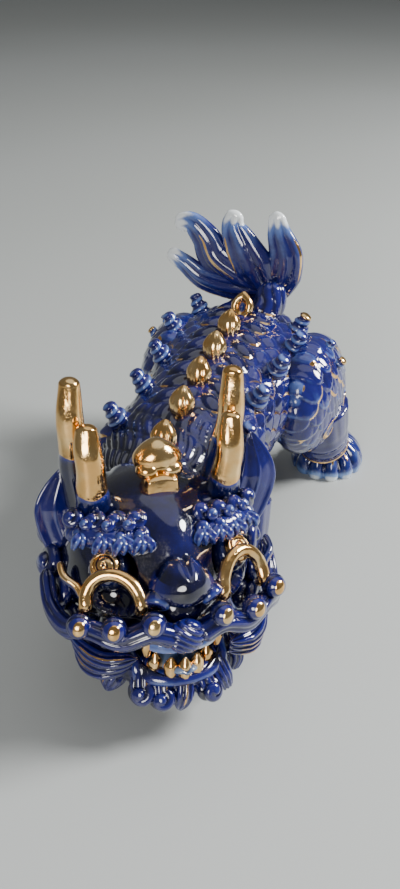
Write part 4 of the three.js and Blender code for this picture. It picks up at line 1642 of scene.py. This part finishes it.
@dataclass
class Nose:
    """The broad nose with its two wings, and the striated whisker tuft under it."""

    half: tuple[float, float, float] = (12.8, 11.6, 9.8)
    forward: float = 43.0
    level: float = 8.2
    wing_seat: tuple[float, float, float] = (10.0, 46.4, 3.4)
    wing_half: tuple[float, float, float] = (5.2, 5.2, 4.6)
    tuft_half: tuple[float, float, float] = (7.6, 4.8, 7.3)
    tuft_middle: tuple[float, float, float] = (-1.0, -54.0, -10.0)

    def skins(self) -> list[Skin]:
        """A heart-shaped bulb, notched above and wider below, and two nostril wings.

        Returns:
            The bulb's skin and then the wings'.
        """
        x, y, z = ball_points(rings=90, sides=110)
        wide, deep, high = self.half
        widen = 0.74 + 0.34 * (1 - ease(-0.6, 0.9, z))
        keel = 0.8 * bump(x, 0, 0.34) * ease(0.2, 0.8, -y)
        notch = 1.8 * bump(x, 0.06, 0.16) * ease(0.35, 0.95, z)
        bulb = [x * wide * widen, y * deep - self.forward - keel, z * high + self.level - notch]
        rim = ease(0.5, 0.95, np.abs(x)) * (z < 0.35) + 0.5 * bump(z, 0.82, 0.14) * (y < 0)
        made = [Skin(np.stack(bulb, -1), 0.12 + 0.26 * rim, 0 * x)]
        for s in (-1, 1):
            seat, axis = fwd_path([self.wing_seat], s)[0], (s * 0.45, -0.75, -0.5)
            made.append(ball_skin(seat, self.wing_half, self.wing, axis, rings=60, sides=70))
        return made

    @staticmethod
    def wing(polar: Array, azimuth: Array) -> Coat:
        """A nostril's pit inside a pale, swollen ring.

        Args:
            polar: angle from the pole.
            azimuth: angle round the pole.

        Returns:
            Height in millimetres, and the thin and gilt masks.
        """
        pit = bump(polar, 0, 0.55)
        height = -1.9 * pit + 0.5 * bump(polar, 0.95, 0.3)
        return height, 0.16 + 0.42 * bump(polar, 1.0, 0.4) - 0.3 * pit + 0 * azimuth, 0 * polar

    def tuft(self) -> Skin:
        """The whisker tuft: a lobe whose ridges slant, |cos| of height plus breadth.

        Returns:
            The closed skin.
        """
        x, y, z = ball_points(rings=90, sides=90)
        comb = ridge(8.5 * z + 4.0 * x + 0.8 * np.sin(3 * x), 0.7)
        points = np.stack([x, y, z], -1) * self.tuft_half + self.tuft_middle
        return Skin(points, 0.2 + 0.26 * comb, 0 * x).raised((comb - 1) * (y < 0.4))


@dataclass
class Moustache:
    """A wavy band with three ball curls, each with a dab of gold."""

    side: Side
    half: tuple[float, ...] = (4.8, 4.6, 4.2, 3.8, 3.3)
    ball_radius: float = 5.0

    def skins(self) -> list[Skin]:
        """The band and its curls, the outer curl higher on the left.

        Returns:
            The band's skin and then the curls'.
        """
        s = self.side.value
        path = fwd_path((
            (4, 53, -11), (14, 52, -7), (25, 49, -11), (35, 42, -9),
            (43, 32, -13), (47, 20, -10), (47, 10, 1),
        ), s)

        def band(t: Array, angle: Array) -> Coat:
            """Strands, and a broken gold line that wanders along the upper side.

            Args:
                t: share of the limb's length, 0..1.
                angle: angle round its section.

            Returns:
                Height in millimetres, and the thin and gilt masks.
            """
            strand = ridge(angle * 3 + 2.5 * t, 0.7)
            line = bump(np.mod(angle - 4.4 + 0.8 * np.sin(9 * t), 2 * math.pi) - 0.4, 0, 0.16)
            gilt = 1.15 * line * ease(0.1, 0.2, t) * (np.sin(t * 31) > -0.35)
            return 0.8 * (strand - 1), 0.12 + 0.22 * strand, gilt

        def dab(polar: Array, azimuth: Array) -> Coat:
            """A gold dab on the front and a groove round it.

            Args:
                polar: angle from the pole.
                azimuth: angle round the pole.

            Returns:
                Height in millimetres, and the thin and gilt masks.
            """
            reach = 0.52 + 0.1 * np.cos(azimuth * 2 + 0.5)
            spot = 1 - ease(-0.06, 0.06, polar - reach)
            groove = bump(polar, 1.35 + 0.25 * np.cos(azimuth), 0.1)
            return 0.2 * spot - 0.4 * groove, 0.2 + 0.2 * bump(polar, 0.6, 0.5) - 0.15 * groove, 1.2 * spot

        made = [limb_skin(path, self.half, band, across=UP, ends=0.05, rings=190, sides=60)]
        outer = (40, 40, -3) if self.side is Side.LEFT else (39.5, 41, -7)
        for seat in fwd_path(((13.5, 53, -3), (28, 49.5, -5), outer), s):
            axis = (s * 0.2, -0.9, 0.3)
            made.append(ball_skin(seat, (self.ball_radius,) * 3, dab, axis, rings=56, sides=68))
        return made


@dataclass
class Crest:
    """The gilt crest above the forehead: a two-lobed cap on a square stem."""

    stem_half: tuple[float, float, float] = (7.7, 4.4, 9.0)
    stem_middle: tuple[float, float, float] = (0.0, -12.0, 30.0)
    dome_half: tuple[float, float, float] = (10.2, 7.4, 8.2)
    dome_middle: tuple[float, float, float] = (0.0, -5.4, 43.4)
    lobe_half: tuple[float, float, float] = (4.9, 4.7, 3.9)
    lobe_seat: tuple[float, float, float] = (4.9, 9.0, 39.6)

    def skins(self) -> list[Skin]:
        """The stem, a ball squared by the largest coordinate; the dome; and two low lobes.

        Returns:
            The stem's, the dome's and the lobes' skins.
        """
        ball = np.moveaxis(ball_points(rings=70, sides=84), 0, -1)
        square = np.abs(ball).max(-1, keepdims=True) ** -0.5
        points = ball * self.stem_half * square + self.stem_middle
        made = [Skin(points, np.full(ball.shape[:2], 0.3), np.ones(ball.shape[:2]))]
        x, y, z = ball_points(rings=100, sides=110)
        narrow = 1 - 0.3 * np.maximum(z, 0) ** 1.5
        overhang = 1 + 0.08 * bump(z, -0.3 - 0.25 * np.abs(x), 0.12) * (y < 0)
        dome = np.stack([x * narrow, y * overhang, z], -1) * self.dome_half + self.dome_middle
        made.append(Skin(dome, 0.3 + 0 * x, 1 + 0 * x))
        for s in (-1, 1):
            seat = fwd_path([self.lobe_seat], s)[0]
            made.append(ball_skin(seat, self.lobe_half, plain(0.3, 1.0), rings=50, sides=60))
        return made


@dataclass
class Mane:
    """The curls and locks that frame the jaw and the temples."""

    temple_half: tuple[float, float, float] = (6.8, 8.0, 8.0)
    swept_half: tuple[float, ...] = (2.4, 4.2, 3.8, 2.2)
    reach: float = 33.0
    swing: float = 2.2

    def temple(self, side: Side) -> list[Skin]:
        """Four spiral curls that climb from the cheek to the ear.

        Args:
            side: the side it belongs to.

        Returns:
            The curls' skins, from the lowest up.
        """
        s = side.value
        seats = ((38, 17, -22), (41, 9, -12), (43, -1, -3), (41, -12, 6))
        made, groove = [], snail(8.0, 2.3, 0.28)
        for order, seat in enumerate(fwd_path(seats, s)):
            axis = (s * 0.8, -0.55 + 0.1 * order, 0.25)
            made.append(ball_skin(seat, self.temple_half, groove, axis, rings=60, sides=80))
        return made

    def swept(self, side: Side) -> list[Skin]:
        """Lens-shaped locks that sweep back from the corner of the mouth under the moustache.

        Args:
            side: the side it belongs to.

        Returns:
            The locks' skins, from the highest down.
        """
        made, comb = [], strands(7, 0.8, 1.6, 0.14, 0.45)
        for order in range(3):
            low = -20.5 - 4.6 * order
            path = fwd_path((
                (19 + order, 49 - 3 * order, low),
                (31 + order, 43.5 - 3 * order, low - 1.5),
                (41.5 - 1.5 * order, 28 - 2 * order, low + 1.5),
            ), side.value)
            made.append(limb_skin(path, self.swept_half, comb, 0.8, UP, ends=0.2, rings=80, sides=60))
        return made

    def locks(
        self, angles: Sequence[float], top: float, drop: float, size: float, curled: bool,
    ) -> list[Skin]:
        """Hanging locks round the jaw, which end in snail curls or in a straight combed fringe.

        Args:
            angles: where each lock hangs, in degrees from the chin.
            top: height at which the locks spring.
            drop: how far they hang.
            size: half width.
            curled: whether every other lock winds up into a curl.

        Returns:
            The skins.
        """
        made = []
        shares = (0.85, 0.95, 0.9, 0.36) if curled else (0.8, 1.0, 0.95, 0.6)
        half = [size * share for share in shares]
        count, ends = (9, 0.2) if curled else (15, 0.1)
        for order, angle in enumerate(angles):
            c, s = math.cos(math.radians(angle)), math.sin(math.radians(angle))
            x, y = s * self.reach, -c * (self.reach + 8) - 9
            hand = -1 if order % 2 else 1
            swing = hand * self.swing
            low = top - drop + 0.04 * abs(angle)
            knots = (
                (x * 0.72, y * 0.82, top + 3),
                (x * 0.93, y * 0.97, top - drop * 0.35),
                (x + swing, y - 1, low),
            )
            comb = strands(count, 1.1, 2.6 * hand, 0.12, 0.1)
            made.append(limb_skin(knots, half, comb, 0.8, (c, s, 0), ends, rings=74, sides=76))
            if curled and hand == 1:
                bead = (x * 1.03 + 0.4 * swing, y * 1.02 - 1.0, low + 6.5)
                groove, axis = snail(size, 2.6, 0.2), (s, -c, 0.5)
                made.append(ball_skin(bead, (size * 0.86,) * 3, groove, axis, rings=52, sides=68))
        return made


# ---- Studio -----------------------------------------------------------------------------------
@dataclass(frozen=True)
class Lamp:
    """One round area light: its place in metres, width in metres, watts and colour."""

    name: str
    place: tuple[float, float, float]
    size: float
    power: float
    tint: tuple[float, float, float]

    def hang(self, aim: Array) -> None:
        """Adds the light to the scene, facing a point.

        Args:
            aim: the point it faces, in metres.
        """
        light = bpy.data.lights.new(self.name, "AREA")
        light.shape, light.size = "DISK", self.size
        light.energy, light.color = self.power, self.tint
        lamp = bpy.data.objects.new(self.name, light)
        lamp.matrix_world = standing(upright_onto(np.asarray(self.place, float) - aim), self.place)
        bpy.context.scene.collection.objects.link(lamp)


LAMPS = (
    Lamp("right_window", (1.0, 0.5, 0.9), 0.5, 44.0, (1.0, 0.99, 0.97)),
    Lamp("front_panel", (0.15, -1.25, 0.6), 0.6, 13.0, (1.0, 0.97, 0.93)),
    Lamp("ceiling_panel", (0.1, 0.45, 1.6), 1.8, 6.0, (0.98, 0.99, 1.0)),
)


def standing(turned: Array, place: Sequence[float]) -> Matrix:
    """The 4 by 4 matrix of an object that is turned and then set at a place in metres."""
    return Matrix([[*turned[r], place[r]] for r in range(3)] + [[0, 0, 0, 1]])


@dataclass
class Studio:
    """Plain pale floor, soft light and the camera."""

    azimuth: float = 20.0
    elevation: float = 33.6
    distance: float = 422.0
    lens: float = 75.0
    aim: tuple[float, float, float] = (3.3, -7.0, 54.8)
    floor_reach: float = 6.0

    def floor(self) -> None:
        """A large pale grey sheet at sole height."""
        reach = self.floor_reach
        mesh = bpy.data.meshes.new("studio_floor")
        corners = [(-reach, -reach, 0), (reach, -reach, 0), (reach, reach, 0), (-reach, reach, 0)]
        mesh.from_pydata(corners, [], [(0, 1, 2, 3)])
        made = bpy.data.materials.new("floor_paper")
        made.use_nodes = True
        tree = Tree(made.node_tree)
        shader = made.node_tree.nodes["Principled BSDF"]
        cloud = tree.stepped(tree.noise(0.8, 2.0), 0.3, 0.7)
        colour = tree.mixed(cloud, (0.37, 0.39, 0.38, 1), (0.41, 0.43, 0.43, 1))
        made.node_tree.links.new(colour, shader.inputs["Base Color"])
        shader.inputs["Roughness"].default_value = 0.5
        mesh.materials.append(made)
        sheet = bpy.data.objects.new("studio_floor", mesh)
        bpy.context.scene.collection.objects.link(sheet)

    def lights(self, aim: Array) -> None:
        """A window to the right, a low front panel, one overhead, and a dim room.

        Args:
            aim: the point that the lamps face, in metres.
        """
        for lamp in LAMPS:
            lamp.hang(aim)
        world = bpy.data.worlds.new("dim_room")
        world.use_nodes = True
        bpy.context.scene.world = world
        background = world.node_tree.nodes["Background"]
        background.inputs["Color"].default_value = (0.78, 0.8, 0.8, 1)
        background.inputs["Strength"].default_value = 0.22

    def camera(self, origin: Array) -> Array:
        """Sets the camera on a ray from its aim.

        Args:
            origin: the design frame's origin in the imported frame, in millimetres.

        Returns:
            The aim in metres.
        """
        a, e = math.radians(self.azimuth), math.radians(self.elevation)
        back = np.array([math.sin(a) * math.cos(e), -math.cos(a) * math.cos(e), math.sin(e)])
        aim = (np.asarray(self.aim) + origin) * MM
        right = np.array([math.cos(a), math.sin(a), 0.0])
        matrix = np.column_stack([right, np.cross(back, right), back])
        place = aim + back * self.distance * MM
        data = bpy.data.cameras.new("camera")
        data.sensor_fit, data.sensor_width, data.lens = "HORIZONTAL", 36.0, self.lens
        data.clip_start = 0.01
        camera = bpy.data.objects.new("camera", data)
        camera.matrix_world = standing(matrix, place)
        bpy.context.scene.collection.objects.link(camera)
        bpy.context.scene.camera = camera
        return aim


# ---- The whole beast --------------------------------------------------------------------------
def design_origin(trunk: Trunk) -> Array:
    """Where the design frame's origin lies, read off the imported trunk's box, in millimetres."""
    low, high = (np.array(corner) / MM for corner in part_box("trunk_shell"))
    return np.array([(low[0] + high[0]) / 2, high[1] - trunk.middle_y - trunk.half_length, 0.0])


@dataclass
class Body:
    """Trunk, legs, paws, knobs, spine plates and tail."""

    trunk: Trunk
    plates: int = 6
    knob_angle: float = 0.84
    left_knobs: tuple[float, ...] = (-24.0, 5.0, 33.0, 57.0, 77.0)
    right_knobs: tuple[float, ...] = (-28.0, 0.0, 28.0, 56.0, 82.0)
    haunch_knobs: int = 2

    def fire(self, kiln: Kiln) -> None:
        """Builds and dresses every piece of the body.

        Args:
            kiln: makes and dresses the pieces.
        """
        kiln.fire("trunk_shell", [self.trunk.skin()], Slot.COBALT)
        for side in Side:
            self.fire_limbs(kiln, side)
            self.fire_knobs(kiln, side)
        for order in range(self.plates):
            y = self.trunk.first_plate + self.trunk.plate_pitch * order
            plate = SpinePlate(y, hooded=order == self.plates - 1)
            kiln.fire(f"spine_plate_{order + 1}", [plate.skin(self.trunk)], Slot.GILT)
        kiln.fire("flame_tail", FlameTail().skins(), Slot.COBALT)

    def fire_limbs(self, kiln: Kiln, side: Side) -> None:
        """The two legs and the two paws of a side; the left hind paw is set wider and turned out.

        Args:
            kiln: makes and dresses the pieces.
            side: the side they belong to.
        """
        s, left = side.value, side is Side.LEFT
        for leg in (hind_leg(side), foreleg(side)):
            kiln.fire(f"{leg.name}_{side.word}", leg.skins(), Slot.COBALT)
        hind = Paw(side, "hind_paw", (s * (53 if left else 44), 80), (21.3, 22.3), 22 if left else 10)
        fore = Paw(side, "front_paw", (s * 35, -43), (17, 19), 8)
        for paw in (hind, fore):
            kiln.fire(f"{paw.name}_{side.word}", [paw.skin()], Slot.PALE)

    def fire_knobs(self, kiln: Kiln, side: Side) -> None:
        """The flank's row of knobs, which climbs a little towards the tail, and the haunch's two.

        Args:
            kiln: makes and dresses the pieces.
            side: the side they belong to.
        """
        s, left = side.value, side is Side.LEFT
        places = self.left_knobs if left else self.right_knobs
        for order, y in enumerate(places):
            angle = s * (self.knob_angle - 0.0008 * (y - 20))
            direction = self.trunk.outward(y, angle) + np.array([0, -0.15, 0.4])
            gold_tip = left and order == len(places) - 1
            knob = Knob(self.trunk.at(y, angle), direction, 1.0, gold_tip)
            kiln.fire(f"flank_knob_{order + 1}_{side.word}", [knob.skin()], Slot.COBALT)
        for order in range(self.haunch_knobs):
            foot = np.array([s * (43 + HAUNCH_OUT[side] + 5 * order), 66 - 3 * order, 81 - 8 * order])
            direction = np.array([s * (0.7 + 0.4 * order), -0.1, 1])
            knob = Knob(foot, direction, 0.62 + 0.1 * order, order == 1)
            kiln.fire(f"haunch_knob_{order + 1}_{side.word}", [knob.skin()], Slot.COBALT)


@dataclass
class Head:
    """Everything that turns with the head."""

    pose: HeadPose
    cheek_angles: tuple[float, ...] = (30.0, 52.0, 74.0, 97.0)
    chin_angles: tuple[float, ...] = (-17.0, 0.0, 17.0)

    def fire(self, kiln: Kiln) -> None:
        """Builds and dresses every piece of the head: those in the middle, then side by side.

        Args:
            kiln: makes and dresses the pieces.
        """
        mouth, nose, mane = Mouth(), Nose(), Mane()
        pieces = {
            "head_shell": ([Skull().skin(), mouth.upper_lip()], Slot.COBALT),
            "lower_jaw": ([mouth.jaw()], Slot.COBALT),
            "tongue": ([mouth.tongue()], Slot.TONGUE),
            "lower_tooth_row": (mouth.teeth(), Slot.GILT),
            "nose": (nose.skins(), Slot.COBALT),
            "whisker_tuft": ([nose.tuft()], Slot.COBALT),
            "forehead_crest": (Crest().skins(), Slot.GILT),
        }
        for side in Side:
            pieces |= self.sided(side, mouth, mane)
        pieces["chin_locks"] = (mane.locks(self.chin_angles, -34, 14, 6.4, True), Slot.COBALT)
        for node, (skins, slot) in pieces.items():
            kiln.fire(node, self.pose.set(skins), slot)

    def sided(self, side: Side, mouth: Mouth, mane: Mane) -> dict[str, tuple[list[Skin], Slot]]:
        """The pieces of one side; only the right cheek's locks wind up into curls.

        Args:
            side: the side they belong to.
            mouth: the mouth, for its fang.
            mane: the mane, for its curls and locks.

        Returns:
            Node name to its skins in the head's frame and its slot.
        """
        eyes = Eyes()
        angles = [side.value * angle for angle in self.cheek_angles]
        hanging = mane.locks(angles, -32, 15, 7.2, side is Side.RIGHT)
        pieces = {
            "eyeball": ([eyes.ball(side)], Slot.EYE),
            "pupil_ring": ([eyes.pupil_skin(side)], Slot.GILT),
            "lower_lid": (eyes.lid(side), Slot.GILT),
            "brow": (Brow(side).skins(), Slot.COBALT),
            "horn_front": ([Horn(side, rear=False).skin()], Slot.GILT),
            "horn_rear": ([Horn(side, rear=True).skin()], Slot.GILT),
            "ear": ([Ear(side).skin()], Slot.COBALT),
            "moustache": (Moustache(side).skins(), Slot.COBALT),
            "upper_fang": ([mouth.fang(side)], Slot.GILT),
            "temple_curls": (mane.temple(side), Slot.COBALT),
            "cheek_locks": (hanging + mane.swept(side), Slot.COBALT),
        }
        return {f"{title}_{side.word}": made for title, made in pieces.items()}


def main() -> None:
    """Builds the studio and every piece."""
    logging.basicConfig(level=logging.INFO, format="%(name)s: %(message)s")
    trunk = Trunk()
    origin = design_origin(trunk)
    studio = Studio()
    aim = studio.camera(origin)
    studio.lights(aim)
    studio.floor()
    kiln = Kiln(origin)
    Body(trunk).fire(kiln)
    Head(HeadPose()).fire(kiln)


if __name__ == "__main__":
    main()
